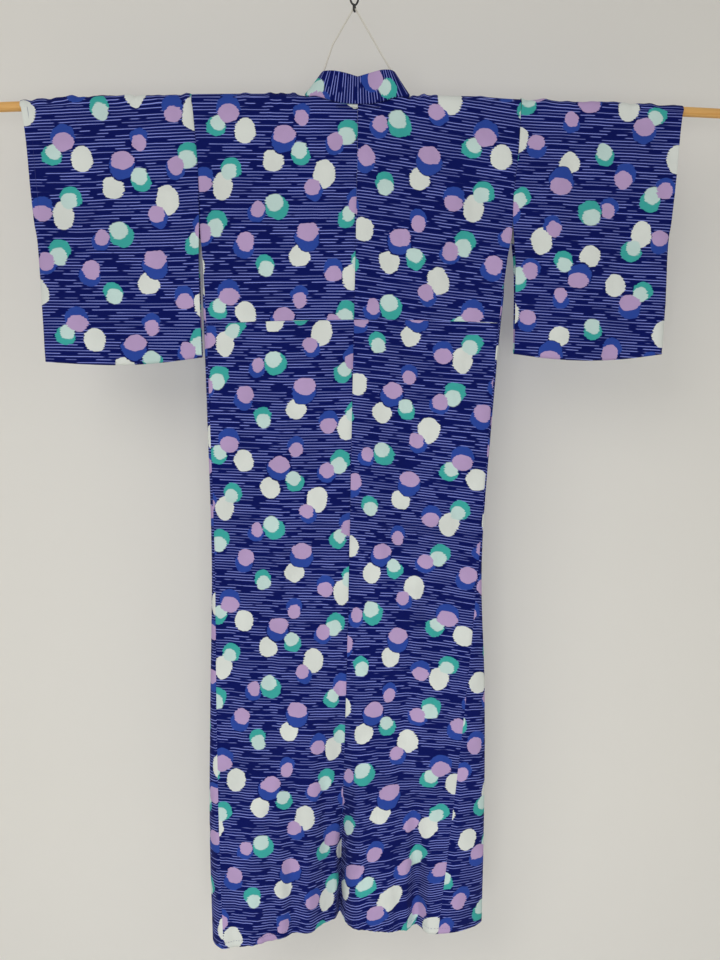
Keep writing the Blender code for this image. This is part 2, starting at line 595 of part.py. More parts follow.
def make_hook(finish, collection):
    """A bent wire: a nearly closed lower eye turned across the cord, a short neck and an open upper eye."""
    heights = hook_heights()
    low = np.radians(np.linspace(118, 452, 22))
    turned = math.radians(72)
    low_out = LOWER_EYE_RADIUS * np.cos(low)
    lower = to_world(HOOK_X + low_out * math.cos(turned), low_out * math.sin(turned),
                     heights["lower_centre"] - LOWER_EYE_RADIUS * np.sin(low))
    high = np.radians(np.linspace(-88, 160, 18))
    upper = to_world(HOOK_X + UPPER_EYE_RADIUS * np.cos(high), 0 * high,
                     heights["upper_centre"] - UPPER_EYE_RADIUS * np.sin(high))
    neck = lower[-1] + (upper[0] - lower[-1]) * np.linspace(0, 1, 5)[1:-1, None]
    return tube("hook", np.concatenate([lower, neck, upper]), WIRE_RADIUS, 2, finish, collection)


def main():
    for old in list(bpy.data.objects):
        bpy.data.objects.remove(old, do_unlink=True)
    collection = bpy.data.collections.new("yukata_robe")
    bpy.context.scene.collection.children.link(collection)
    cotton = material("printed_cotton", COLOURS["cloth"], 0.85)
    for side in ("left", "right"):
        make_body(side, cotton, collection)
        make_sleeve(side, cotton, collection)
        make_overlap_panel(side, cotton, collection)
    make_collar(cotton, collection)
    make_over_collar(cotton, collection)
    make_pole(material("pale_wood", COLOURS["wood"], 0.5), collection)
    make_cord(material("white_cord", COLOURS["cord"], 0.9), collection)
    make_hook(material("black_metal", COLOURS["metal"], 0.35, 1.0), collection)


main()
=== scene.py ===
import bpy
import numpy as np
from mathutils import Matrix, Vector


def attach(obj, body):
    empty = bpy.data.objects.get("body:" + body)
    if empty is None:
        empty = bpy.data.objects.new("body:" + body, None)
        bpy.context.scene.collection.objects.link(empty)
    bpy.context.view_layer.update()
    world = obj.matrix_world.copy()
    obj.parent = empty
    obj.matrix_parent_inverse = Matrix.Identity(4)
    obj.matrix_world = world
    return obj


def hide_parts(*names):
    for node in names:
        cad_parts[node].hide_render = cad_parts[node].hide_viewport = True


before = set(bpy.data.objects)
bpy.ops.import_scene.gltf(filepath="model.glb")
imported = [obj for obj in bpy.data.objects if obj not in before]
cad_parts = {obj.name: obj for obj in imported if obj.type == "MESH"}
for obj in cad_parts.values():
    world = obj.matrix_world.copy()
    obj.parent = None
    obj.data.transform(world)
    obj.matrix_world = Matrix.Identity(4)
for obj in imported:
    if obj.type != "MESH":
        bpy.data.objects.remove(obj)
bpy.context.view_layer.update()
print("frame loaded:", len(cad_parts), "nodes")

camera = {
    "place": (-0.0495, -1.591, -0.764),
    "yaw": 2.02, "pitch": 6.44, "roll": -0.26,      # degrees: to the right, down, clockwise
    "lens": 29.46, "sensor": 36.0,
}


def linked(name, data):
    made = bpy.data.objects.new(name, data)
    bpy.context.scene.collection.objects.link(made)
    return made


def placeCamera():
    yaw, pitch, roll = np.radians([camera["yaw"], camera["pitch"], camera["roll"]])
    ahead = np.array([np.sin(yaw) * np.cos(pitch), np.cos(yaw) * np.cos(pitch), -np.sin(pitch)])
    right = np.array([np.cos(yaw), -np.sin(yaw), 0.0])
    up = np.cross(right, ahead)
    across = np.cos(roll) * right + np.sin(roll) * up
    upright = -np.sin(roll) * right + np.cos(roll) * up
    data = bpy.data.cameras.new("photoCamera")
    data.lens, data.sensor_width = camera["lens"], camera["sensor"]
    turned = np.eye(4)
    turned[:3] = np.stack([across, upright, -ahead, camera["place"]], axis=1)
    made = linked("photoCamera", data)
    made.matrix_world = Matrix(turned.tolist())
    bpy.context.scene.camera = made


placeCamera()
print("camera placed")

# the robe's sizes; a drop is measured down from the cloth's top over the pole
robe = {
    "hookX": -0.005, "hookTop": 0.198,             # the hook's place beside the back seam and above the cloth
    "wall": 0.0012, "seamGap": 0.0003,
    "archRadius": 0.0125, "poleBow": 0.030,        # cloth over the pole; the pole's ends sag
    "halfBack": 0.3075, "neckHalf": 0.098, "armhole": 0.23, "sideOpeningEnd": 0.38,
    "hemDrop": 1.715, "hemDepth": 0.012,
    "tuckDrop": 0.425, "tuckDip": 0.008, "tuckLip": 0.0022,
    "tip": 0.25, "collarEnd": 0.85, "overCollarEnd": 0.46,
    "frontLayer": 0.012, "turnDepth": 0.008,
    # beside the neck the cloth rises off the pole: how much, how far out, and over what length it lies down again
    "leftRise": (0.0045, 0.52, 0.10), "rightRise": (0.0035, 0.22, 0.09),
    # the shoulders' extra width, down from the pole
    "flareDrop": (0.0, 0.06, 0.11, 0.18, 0.24, 0.32),
    "leftFlare": (0.0095, 0.0055, 0.0020, 0.0, 0.0, 0.0),
    "rightFlare": (0.0095, 0.0080, 0.0050, -0.0025, -0.0035, 0.0),
    "openingCloses": 0.25, "archGirth": 0.0071,
}
# where a change starts, in metres down the cloth or in from an edge, and over what length it comes in
ramps = {
    "neckLiesClose": (0.02, 0.10), "tuckLip": (-0.0004, 0.0008), "underTuck": (0.0, 0.02),
    "lapAcross": (-0.165, 0.05), "lapDown": (0.04, 0.12), "rise": (0.100, 0.03), "flare": (0.12, 0.18),
    "centreSeam": (0.0, 0.2), "offPole": (0.012, 0.10), "gathers": (0.0, 0.075), "roll": (0.0, 0.05),
    "relief": (0.0, 0.12), "reliefAtSide": (0.0, 0.02), "reliefAtCentre": (0.0, 0.008),
    "reliefAtFold": (0.0, 0.03), "reliefAtEdge": (0.0, 0.015), "longWaves": (0.0, 1.5),
    "evenFront": (0.03, 0.12), "widening": (0.4, 0.6), "frontSlip": (1.0, 0.5),
    "sleeveSettles": (0.10, 0.34), "sleeveArch": (0.0, 0.11), "sleeveRelief": (0.0, 0.15),
    "sleeveWaves": (0.0, 0.2), "sleeveWavesAcross": (0.0, 0.15), "sleeveGathers": (0.0, 0.06),
    "collarWidens": (0.3, 0.5), "collarLift": (0.02, 0.12),
}
# over what length a change comes in below the armhole
belowArmhole = {"backSide": 0.08, "frontSide": 0.04, "sleeveSeam": 0.03, "sleeveInner": 0.15, "cuff": 0.05}
# waves in the cloth: their height, and their usual lengths across and down
clothWaves = {
    "long": (0.0011, 0.055, 0.45), "crease": (0.0005, 0.020, 0.030), "tuck": (0.0008, 0.012, 0.3),
    "hem": (0.0011, 0.016, 0.2), "sleeveLong": (0.0016, 0.10, 0.50), "sleeveCrease": (0.0005, 0.020, 0.032),
    "sleeveHem": (0.0008, 0.014, 0.2), "overPole": (0.0014, 0.03, 0.2),
}
# the side of x each half of the robe lies on, and where its random draws start
signs, seeds = {"left": -1, "right": 1}, {"left": 41, "right": 11}
# the body's plan: centre back seam, side seams and the outer folds beside them
bodyPlan = {
    "drop": (0.0, 0.23, 0.38, 0.60, 0.92, 1.20, 1.50, 1.715),
    "centreX": (0.0, -0.004, -0.008, -0.014, -0.022, -0.030, -0.040, -0.046),
    "backY": (-0.0125, -0.014, -0.014, -0.015, -0.016, -0.018, -0.022, -0.026),
    "leftSeamX": (-0.3075, -0.3065, -0.3015, -0.2985, -0.295, -0.297, -0.295, -0.289),
    "leftSeamY": (-0.0125, -0.014, -0.013, -0.013, -0.018, -0.030, -0.051, -0.072),
    "leftFoldX": (-0.3075, -0.3075, -0.3065, -0.304, -0.302, -0.311, -0.318, -0.316),
    "leftFoldY": (0.0045, 0.003, 0.0, -0.001, -0.005, -0.013, -0.024, -0.032),
    "rightSeamX": (0.3075, 0.3045, 0.285, 0.2665, 0.245, 0.220, 0.188, 0.162),
    "rightSeamY": (-0.0125, -0.014, -0.013, -0.013, -0.016, -0.026, -0.038, -0.046),
    "rightFoldX": (0.3075, 0.3065, 0.290, 0.2715, 0.2525, 0.262, 0.264, 0.262),
    "rightFoldY": (0.0045, 0.003, 0.0, -0.001, -0.003, -0.006, -0.0065, -0.007),
}
frontPlan = {
    "drop": (0.25, 0.60, 0.92, 1.20, 1.50, 1.715),
    "rightSeamX": (0.050, 0.044, 0.046, 0.080, 0.115, 0.137),
    "rightEdgeX": (-0.108, -0.106, -0.103, -0.070, -0.035, -0.013),
    "leftSeamX": (-0.050, -0.060, -0.073, -0.104, -0.121, -0.125),
    "leftEdgeX": (0.105, 0.096, 0.080, 0.048, 0.030, 0.025),
    "collarSeamEndX": {"right": -0.039, "left": 0.020},
}
# soft folds of the back: start, its place there and at the hem, depth at the hem, half width
backFolds = (
    (1.35, -0.036, -0.046, 0.026, 0.013), (0.92, -0.046, -0.068, 0.034, 0.050),
    (0.98, -0.020, -0.040, 0.020, 0.035), (1.30, 0.122, 0.118, 0.024, 0.026),
    (1.10, -0.150, -0.142, 0.012, 0.036), (0.70, 0.120, 0.040, -0.006, 0.040),
    (0.50, -0.220, -0.232, -0.006, 0.040), (0.05, 0.170, 0.190, 0.004, 0.040),
    (0.05, -0.120, -0.100, 0.004, 0.045),
)
leanPower = {"left": 1.3, "right": 3.0}
frontBulge = {"depth": 0.075, "width": 0.12, "start": 0.92}
neckCut = {"x": (0.0, 0.030, 0.060, 0.080, 0.098), "drop": (0.0200, 0.0190, 0.0118, 0.0059, 0.0069),
           "standoff": 0.0027, "standoffX": 0.082, "standoffFade": 0.016}
# the printed cloth, as metres on the bolt from the middle of one lilac dot
bolt = {
    "repeat": 0.340, "halfDropWidth": 0.2565,
    "leftBack": (-0.250, -0.036), "rightBack": (0.248, -0.080),
    "leftTuckTake": 0.040, "rightTuckTake": 0.047, "leftFrontTake": 0.040, "rightFrontTake": 0.063,
    "leftSleeve": (-0.570, -0.089), "rightSleeve": (0.552, -0.061),
    "collarAlong": 0.036, "collarAcross": 0.043, "collarStretch": 0.88, "collarShift": 0.0058,
    "frontSlip": {"left": 0.0, "right": 0.020}, "widened": 0.06,
}


# how far the print has strayed from that layout as the cloth hangs, in millimetres: for each table its drops,
# then a row for each drop with columns at the inner seam, halfway and at the outer seam, first across and then
# along the bolt. The body has one table above the waist tuck and one below it
strayed = {
    "left": (
        ((0.0, 0.20, 0.424),
         ((1.4, -2.9, -2.0), (1.7, -0.4, -1.9), (-0.4, -0.9, -5.3)),
         ((2.5, 1.4, 2.3), (1.4, 3.2, 2.5), (5.1, 5.3, 6.8))),
        ((0.426, 0.70, 0.97, 1.23, 1.48, 1.715),
         ((2.3, -2.6, -10.3), (6.4, 7.6, 2.1), (8.1, 8.7, 6.4),
          (16.0, 13.2, 13.2), (30.3, 36.9, 38.5), (50.3, 64.1, 71.0)),
         ((2.7, 6.3, 2.4), (-1.6, -0.4, -7.2), (-3.8, -8.5, -19.0),
          (-0.9, -13.1, -27.6), (0.1, -10.7, -29.3), (8.0, -12.5, -36.2)))),
    "right": (
        ((0.0, 0.20, 0.424),
         ((5.2, 1.0, -10.8), (8.6, 10.9, 0.5), (11.2, 15.3, 8.3)),
         ((-38.7, -13.8, 9.1), (-31.1, -11.2, 9.2), (-28.1, -9.5, 5.5))),
        ((0.426, 0.70, 0.97, 1.23, 1.48, 1.715),
         ((11.2, 20.1, 10.9), (14.6, 20.8, 7.8), (27.2, 36.6, 17.1),
          (30.4, 38.2, 24.0), (37.3, 26.2, 11.4), (56.5, 25.4, -2.5)),
         ((-17.2, -3.8, 2.3), (-30.3, -11.9, 5.7), (-36.0, -26.6, -2.3),
          (-28.2, -37.8, -21.8), (-12.1, -38.9, -45.5), (6.6, -33.8, -70.8)))),
    "leftSleeve": (
        ((0.0, 0.25, 0.53),
         ((-8.2, -6.7, -5.2), (-17.5, -17.5, -12.5), (-26.2, -23.2, -19.4)),
         ((-12.7, -2.3, 8.1), (-1.1, 4.2, 5.5), (7.6, 4.1, 0.5))),),
    "rightSleeve": (
        ((0.0, 0.25, 0.53),
         ((6.7, 5.4, 12.0), (-1.2, -4.1, -2.0), (-10.0, -14.7, -12.0)),
         ((14.7, 8.5, 2.3), (20.6, 12.2, 3.9), (27.1, 16.3, 5.6))),),
}


def ease(t):
    # 3 t squared less 2 t cubed, held flat outside 0 to 1
    t = np.clip(t, 0, 1)
    return t * t * (3 - 2 * t)


def comes(at, change):
    start, length = ramps[change]
    return ease((at - start) / length)


def comesBelow(drop, change):
    # 0 down to the armhole's end, then up to 1
    return ease((drop - robe["armhole"]) / belowArmhole[change])


def hump(distance, halfWidth):
    # half a cosine wave: 1 in the middle, 0 past the half width
    return 0.5 + 0.5 * np.cos(np.pi * np.clip(np.abs(distance) / halfWidth, 0, 1))


def through(at, places, values):
    # cubic curve through the values, its slope at each one taken from the two beside it
    places, values = np.array(places), np.array(values)
    at = np.clip(np.asarray(at, float), places[0], places[-1])
    slopes = np.gradient(values, places)
    i = np.clip(np.searchsorted(places, at, side="right") - 1, 0, len(places) - 2)
    step = places[i + 1] - places[i]
    t = (at - places[i]) / step
    start = (1 + 2 * t) * (1 - t) ** 2 * values[i] + t * (1 - t) ** 2 * step * slopes[i]
    return start + t ** 2 * (3 - 2 * t) * values[i + 1] + t ** 2 * (t - 1) * step * slopes[i + 1]


def printDrift(part, drop, share):
    # each table is read by straight lines between its rows and columns, and the body's change at the waist tuck
    drop, share = np.broadcast_arrays(np.asarray(drop, float), share)
    across, along = np.zeros(drop.shape), np.zeros(drop.shape)
    for drops, acrossRows, alongRows in strayed[part]:
        single = len(strayed[part]) == 1
        inside = drop >= 0 if single else (drop < robe["tuckDrop"]) == (drops[0] == 0)
        for target, rows in ((across, acrossRows), (along, alongRows)):
            columns = [np.interp(drop, drops, column) for column in np.array(rows).T / 1000]
            near = columns[0] + (columns[1] - columns[0]) * np.clip(share / 0.5, 0, 1)
            target[inside] = (near + (columns[2] - columns[1]) * np.clip(share / 0.5 - 1, 0, 1))[inside]
    return across, along


def body(name, drop):
    return through(drop, bodyPlan["drop"], bodyPlan[name])


def front(name, drop):
    return through(drop, frontPlan["drop"], frontPlan[name])


def flared(side, drop):
    return through(drop, robe["flareDrop"], robe[side + "Flare"])


def toWorld(x, y, drop):
    x, y, drop = np.broadcast_arrays(x, y, drop)
    return np.stack([x - robe["hookX"], y, -robe["hookTop"] - drop], axis=-1)


def clothTop(x):
    return robe["poleBow"] * np.asarray(x, float) ** 2


def ripples(u, v, lengthU, lengthV, seed, waves=16):
    # a sum of plane waves whose lengths lie round the two given ones, with fixed random phases; about -1 to 1
    draw = np.random.default_rng(seed)
    total = 0.0
    for _ in range(waves):
        a, b = draw.normal(0, 1 / lengthU), draw.normal(0, 1 / lengthV)
        total = total + np.sin(2 * np.pi * (a * u + b * v) + draw.uniform(0, 2 * np.pi))
    return total / np.sqrt(waves)


def wavesOf(kind, u, v, seed):
    height, across, down = clothWaves[kind]
    return height * ripples(u, v, across, down, seed)


def gridFaces(index):
    corners = np.stack([index[:-1, :-1], index[:-1, 1:], index[1:, 1:], index[1:, :-1]], axis=-1)
    return corners.reshape(-1, 4)


def arcLength(points, axis):
    # running length of the polyline through the points
    steps = np.linalg.norm(np.diff(points, axis=axis), axis=-1)
    zero = np.zeros_like(np.take(steps, [0], axis=axis))
    return np.concatenate([zero, np.cumsum(steps, axis=axis)], axis=axis)


def clothPiece(name, points, faces, printed, cloth, edge, wall):
    # an open sheet through the points with the wall's thickness round it; cloth holds bolt metres for each point,
    # edge how far the point lies from a sewn or hemmed edge. Where two panels share a point at a seam, the numbers
    # in printed still lead each of them to its own place on the bolt
    used, index = np.unique(faces, return_inverse=True)
    mesh = bpy.data.meshes.new(name)
    mesh.from_pydata(points[used].tolist(), [], index.reshape(-1, 4).tolist())
    mesh.uv_layers.new(name="cloth").data.foreach_set("uv", cloth[printed.ravel()].ravel())
    mesh.attributes.new("edge", "FLOAT", "POINT").data.foreach_set("value", edge.ravel()[used])
    mesh.shade_smooth()
    made = linked(name, mesh)
    solid = made.modifiers.new("wall", "SOLIDIFY")
    solid.thickness, solid.offset, solid.use_even_offset = wall, 0.0, False
    return made


bodyGrid = {
    "across": 66, "down": 250, "turn": 12, "arch": 14, "topAngle": 30,
    "seamColumns": (0.0, 0.0008, 0.002, 0.004), "evenColumns": 0.008,      # finer columns at both seams
    "evenRows": (0.022, 0.018), "tuckClear": 0.014, "hemStep": 0.0012,
    "tuckRows": (-0.012, -0.006, -0.003, -0.0012, -0.0004, 0.0004, 0.0016, 0.004, 0.008),
    "rollIn": 0.0016, "rollWidth": 0.003,                                # a sewn edge rolls in by this much
    "shoulderGathers": ((-0.215, 0.012, 0.0022), (-0.168, 0.010, 0.0026), (-0.146, 0.008, 0.0018),
                        (-0.122, 0.009, 0.0030), (0.108, 0.008, 0.0026), (0.128, 0.009, 0.0032),
                        (0.150, 0.008, 0.0016), (0.240, 0.014, 0.0012)),
    "hemSwell": 0.0007, "farFromEdge": 0.05,
}


def bodyColumns():
    seam, even, half = np.array(bodyGrid["seamColumns"]), bodyGrid["evenColumns"], robe["halfBack"]
    return np.sort(np.concatenate([seam, np.linspace(even, half - even, bodyGrid["across"]), half - seam,
                                   [robe["neckHalf"]]]))


def bodyRows():
    # even rows, with finer ones at the waist tuck and at the hem's turned edge
    tuck, hem, depth, step = robe["tuckDrop"], robe["hemDrop"], robe["hemDepth"], bodyGrid["hemStep"]
    even = np.linspace(bodyGrid["evenRows"][0], hem - bodyGrid["evenRows"][1], bodyGrid["down"])
    even = even[np.abs(even - tuck) > bodyGrid["tuckClear"]]
    turned = hem - np.array([depth + step, depth, depth - step, 0.005, 0.0])
    return np.sort(np.concatenate([even, tuck + np.array(bodyGrid["tuckRows"]), turned]))[:, None]


columnsBack, dropRows = bodyColumns(), bodyRows()


def tuckSag(x, drop):
    # rows near the waist tuck follow its line, which dips towards the sides
    return robe["tuckDip"] * np.clip(np.abs(x) / 0.3, 0, 1) ** 2 * hump(drop - robe["tuckDrop"], 0.05)


def gathers(x):
    return sum(depth * hump(x - place, half) for place, half, depth in bodyGrid["shoulderGathers"])


def neckStandoff(x):
    return neckCut["standoff"] * (1 - ease((np.abs(x) - neckCut["standoffX"]) / neckCut["standoffFade"]))


def backY(x, drop, side):
    # a base that leans out towards the side seam, plus the soft folds, each growing from its start to the hem
    centre, seam = body("centreX", drop), body(side + "SeamX", drop)
    lean = np.clip((x - centre) / (seam - centre), 0, 1) ** leanPower[side]
    base = body("backY", drop)
    y = base + (body(side + "SeamY", drop) - base) * lean
    for start, xStart, xHem, depth, halfWidth in backFolds:
        grown = (drop - start) / (robe["hemDrop"] - start)
        place = xStart + (xHem - xStart) * np.clip(grown, 0, 1)
        y = y + depth * ease(grown) * hump(x - place, halfWidth)
    nearNeck = neckStandoff(x) * (1 - comes(drop, "neckLiesClose"))
    # the tuck's lip stands out at once and dies away below; the cloth under it lies one wall further in
    below = drop - robe["tuckDrop"]
    lip = robe["tuckLip"] * comes(below, "tuckLip") * np.exp(-below / 0.05)
    return y - nearNeck + np.where(below > -0.0005, lip, 0) + robe["wall"] * comes(below, "underTuck")


def frontY(x, drop, side):
    # from fold to fold, swelling behind the centre fold of the back; the left front lies over the right
    left = body("leftFoldY", drop) + robe["turnDepth"]
    right = body("rightFoldY", drop) + robe["turnDepth"]
    across = np.clip((x + robe["halfBack"]) / (2 * robe["halfBack"]), 0, 1)
    grown = ease((drop - frontBulge["start"]) / (robe["hemDrop"] - frontBulge["start"]))
    offCentre = (x - body("centreX", drop)) / frontBulge["width"]
    y = left + (right - left) * across + frontBulge["depth"] * grown * np.exp(-offCentre ** 2)
    if side == "left":
        y = y + robe["frontLayer"] * comes(x, "lapAcross") * comes(drop, "lapDown")
    return y


def clothRelief(u, v, drop, seed):
    # long hanging waves that grow downwards, short creases everywhere, and puckers at the waist tuck and the hem
    long = wavesOf("long", u, v, seed) * (0.5 + 0.9 * comes(drop, "longWaves"))
    pucker = wavesOf("tuck", u, v, seed + 2) * hump(drop - robe["tuckDrop"], 0.03)
    hem = wavesOf("hem", u, v, seed + 3) * hump(drop - robe["hemDrop"], 0.035)
    return long + wavesOf("crease", u, v, seed + 1) + pucker + hem


def frontEdgeX(side, drop):
    sign, half = signs[side], robe["neckHalf"]
    upper = sign * (half + (front("rightSeamX", robe["tip"]) - half) * drop / robe["tip"])
    return np.where(drop < robe["tip"], upper, front(side + "SeamX", drop)) + sign * robe["seamGap"] / 2


def standsOff(x):
    # how far the cloth rises off the pole beside the neck, lying close again towards the sleeves' ends
    rise, end, fade = (np.where(x < 0, left, right) for left, right in zip(robe["leftRise"], robe["rightRise"]))
    return rise * comes(np.abs(x), "rise") * (1 - ease((np.abs(x) - end) / fade))


def archPoints(x, angle, lift):
    # the half circle over the pole, from its back foot at angle 0 to its front foot
    radius = robe["archRadius"] + lift
    centre = clothTop(x) + robe["wall"] / 2 + robe["archRadius"]
    return -radius * np.cos(angle), centre - (radius + standsOff(x)) * np.sin(angle)


def curve(t, start, control, end):
    # the quadratic curve: (1 - t) squared start, 2 t (1 - t) control, t squared end
    return (1 - t) ** 2 * start + 2 * t * (1 - t) * control + t ** 2 * end


def edgeRoll(distance):
    return np.exp(-(distance / bodyGrid["rollWidth"]) ** 2)


def buildBody(side):
    sign, seed = signs[side], seeds[side]
    offsets, gap = columnsBack, robe["seamGap"] / 2
    sideLine = sign * (robe["halfBack"] - gap)
    neckLast = int(np.argmin(np.abs(offsets - robe["neckHalf"])))
    across = offsets / robe["halfBack"]

    # back panel, from below the shoulder to the hem
    centre = body("centreX", dropRows) * comes(dropRows, "centreSeam") + sign * gap
    soften = comesBelow(dropRows, "backSide")
    seam = sideLine * (1 - soften) + body(side + "SeamX", dropRows) * soften
    spread = sign * comes(offsets, "flare")
    backX = centre + (seam - centre) * across + flared(side, dropRows) * spread
    foot = clothTop(backX) + robe["wall"] / 2 + robe["archRadius"]
    drop = np.maximum(dropRows, foot + 0.004) + tuckSag(backX, dropRows)
    flatDrop = dropRows + 0 * backX
    offPole, gathered = comes(dropRows, "offPole"), 1 - comes(dropRows, "gathers")
    shoulder = -robe["archRadius"] - neckStandoff(backX)
    backPanelY = shoulder + (backY(backX, flatDrop, side) - shoulder) * offPole - gathers(backX) * gathered
    fromCentre, fromSide = np.abs(backX - centre), np.abs(backX - backX[:, -1:])
    roll = (edgeRoll(fromCentre) + edgeRoll(fromSide)) * comes(dropRows, "roll")
    hem = bodyGrid["hemSwell"] * ease((dropRows - robe["hemDrop"] + robe["hemDepth"]) / bodyGrid["hemStep"])
    relief = clothRelief(np.abs(backX), dropRows, dropRows, seed) * comes(dropRows, "relief")
    relief = relief * comes(fromSide, "reliefAtSide") * comes(fromCentre, "reliefAtCentre")
    backPanelY = backPanelY + bodyGrid["rollIn"] * roll - hem - relief
    back = toWorld(backX, backPanelY, drop)
    girth = arcLength(np.stack([backX, backPanelY], -1), 1)

    # rows over the shoulder: beside the neck they end at the neck's cut
    topX = np.broadcast_to(sign * np.maximum(offsets, gap) + flared(side, 0) * spread, (3, len(offsets)))
    share = np.array([[0.0], [0.5], [1.0]])
    footY, footDrop = archPoints(topX, np.radians(bodyGrid["topAngle"] * share), gathers(topX))
    cut = through(np.abs(topX), neckCut["x"], neckCut["drop"])
    inside = np.abs(topX) < robe["neckHalf"] - 1e-6
    topY = np.where(inside, -robe["archRadius"] - neckStandoff(topX), footY)
    topDrop = np.where(inside, cut + 0.006 * (1 - share) - 0.0015 * share, footDrop)
    top = toWorld(topX, topY, topDrop)[::-1]
    archAngles = np.radians(np.linspace(bodyGrid["topAngle"], 180, bodyGrid["arch"]))[1:, None]
    archX = np.broadcast_to(topX[0, neckLast:], (len(archAngles), len(offsets) - neckLast))
    archY, archDrop = archPoints(archX, archAngles, gathers(archX))
    arch = toWorld(archX, archY, archDrop)

    # front panel: out from the side seam round the fold and in to the front edge
    count = len(offsets) - neckLast
    t = np.linspace(0, 1, bodyGrid["turn"])[None, :]
    seamX, seamY = body(side + "SeamX", dropRows), body(side + "SeamY", dropRows)
    foldX, foldY = body(side + "FoldX", dropRows), body(side + "FoldY", dropRows)
    controlX, controlY = foldX - 0.1 * (foldX - seamX), seamY + 0.35 * (foldY - seamY)
    turnX, turnY = curve(t, seamX, controlX, foldX), curve(t, seamY, controlY, foldY)
    edge = frontEdgeX(side, dropRows)
    inner = np.linspace(0, 1, count - bodyGrid["turn"] + 1)[None, 1:]
    innerX = foldX + (edge - foldX) * inner
    settle = ease(inner * 6)
    innerY = foldY + (frontY(innerX, dropRows + 0 * innerX, side) - foldY) * settle
    turnedX, turnedY = np.hstack([turnX, innerX]), np.hstack([turnY, innerY])
    soften = comesBelow(dropRows, "frontSide")
    sideX = sideLine * (1 - soften) + foldX * soften
    shoulderShare = (robe["halfBack"] - offsets[neckLast:][::-1]) / (robe["halfBack"] - robe["neckHalf"])
    evenly = comes(dropRows, "evenFront")
    flatShare = shoulderShare * (1 - evenly) + np.linspace(0, 1, count)[None, :] * evenly
    flatX = sideX + (edge - sideX) * flatShare + flared(side, dropRows) * spread[neckLast:][::-1]
    closing = ease((dropRows - robe["openingCloses"]) / (robe["sideOpeningEnd"] - robe["openingCloses"]))
    frontX = flatX * (1 - closing) + turnedX * closing
    frontPanelY = frontY(flatX, dropRows + 0 * flatX, side) * (1 - closing) + turnedY * closing
    frontPanelY = robe["archRadius"] + (frontPanelY - robe["archRadius"]) * offPole + gathers(frontX) * gathered
    fromSeam = arcLength(np.stack([frontX, frontPanelY], -1), 1)
    toFront = fromSeam[:, -1:] - fromSeam
    relief = clothRelief(np.abs(frontX), dropRows, dropRows, seed + 7) * comes(dropRows, "relief")
    relief = relief * comes(fromSeam, "reliefAtFold") * comes(toFront, "reliefAtSide")
    frontRoll = bodyGrid["rollIn"] * edgeRoll(toFront) * comes(dropRows, "roll")
    frontPanelY = frontPanelY + relief * 0.8 + hem - frontRoll
    frontDrop = np.maximum(dropRows, clothTop(frontX) + robe["wall"] / 2 + robe["archRadius"] + 0.004)
    frontSheet = toWorld(frontX, frontPanelY, frontDrop)

    # point numbers: rows over the shoulder and down the back, then the arch, then the front
    backIndex = np.arange((3 + len(dropRows)) * len(offsets)).reshape(-1, len(offsets))
    archIndex = backIndex.size + np.arange(archX.size).reshape(archX.shape)
    frontIndex = backIndex.size + archIndex.size + np.arange(frontX.size).reshape(frontX.shape)
    overPole = np.vstack([backIndex[0, neckLast:], archIndex])[:, ::-1]
    printed = np.vstack([gridFaces(backIndex), gridFaces(np.vstack([overPole, frontIndex]))])
    shut = dropRows[:, 0] > robe["sideOpeningEnd"] - 0.001
    frontIndex[shut, 0] = backIndex[3:][shut, -1]
    faces = np.vstack([gridFaces(backIndex), gridFaces(np.vstack([overPole, frontIndex]))])

    # bolt metres: across by girth from the centre seam, along by drop; the tuck takes some of the length
    u0, v0 = bolt[side + "Back"]
    take = bolt[side + "TuckTake"] * (dropRows > robe["tuckDrop"])
    driftU, driftV = printDrift(side, dropRows, across[None, :])
    startU, startV = printDrift(side, dropRows[:1], across[None, :])
    frontStart = slice(neckLast, None)
    widened = 1 + bolt["widened"] * comes(dropRows, "widening")
    backU, backV = sign * girth * widened - u0 + driftU, -drop - v0 - take + driftV
    topU, topV = topX[::-1] - u0 + startU, -topDrop[::-1] - v0 + startV
    overTop = robe["archRadius"] * (archAngles - np.pi / 2)
    archU, archV = archX - u0 + startU[:, frontStart], overTop - v0 + startV[:, frontStart]
    slip = bolt["frontSlip"][side] * comes(dropRows, "frontSlip")
    frontU = sign * (robe["halfBack"] + flared(side, dropRows) - fromSeam + slip)
    frontU = frontU - u0 + startU[:, frontStart][:, ::-1]
    frontTake = bolt[side + "FrontTake"] * (dropRows > robe["tuckDrop"])
    frontV = frontDrop + robe["archGirth"] - v0 + frontTake + startV[:, frontStart][:, ::-1]
    cloth = np.concatenate([np.stack([u, v], -1).reshape(-1, 2) for u, v in
                            ((topU, topV), (backU, backV), (archU, archV), (frontU, frontV))])
    far = bodyGrid["farFromEdge"]
    hemAway = np.minimum(robe["hemDrop"] - dropRows, far)
    edgeAway = np.concatenate([np.full(topX.size, far), (hemAway + 0 * backX).ravel(),
                               np.full(archX.size, far), (hemAway + 0 * frontX).ravel()])
    points = np.concatenate([p.reshape(-1, 3) for p in (top, back, arch, frontSheet)])
    return points, faces, printed, cloth, edgeAway


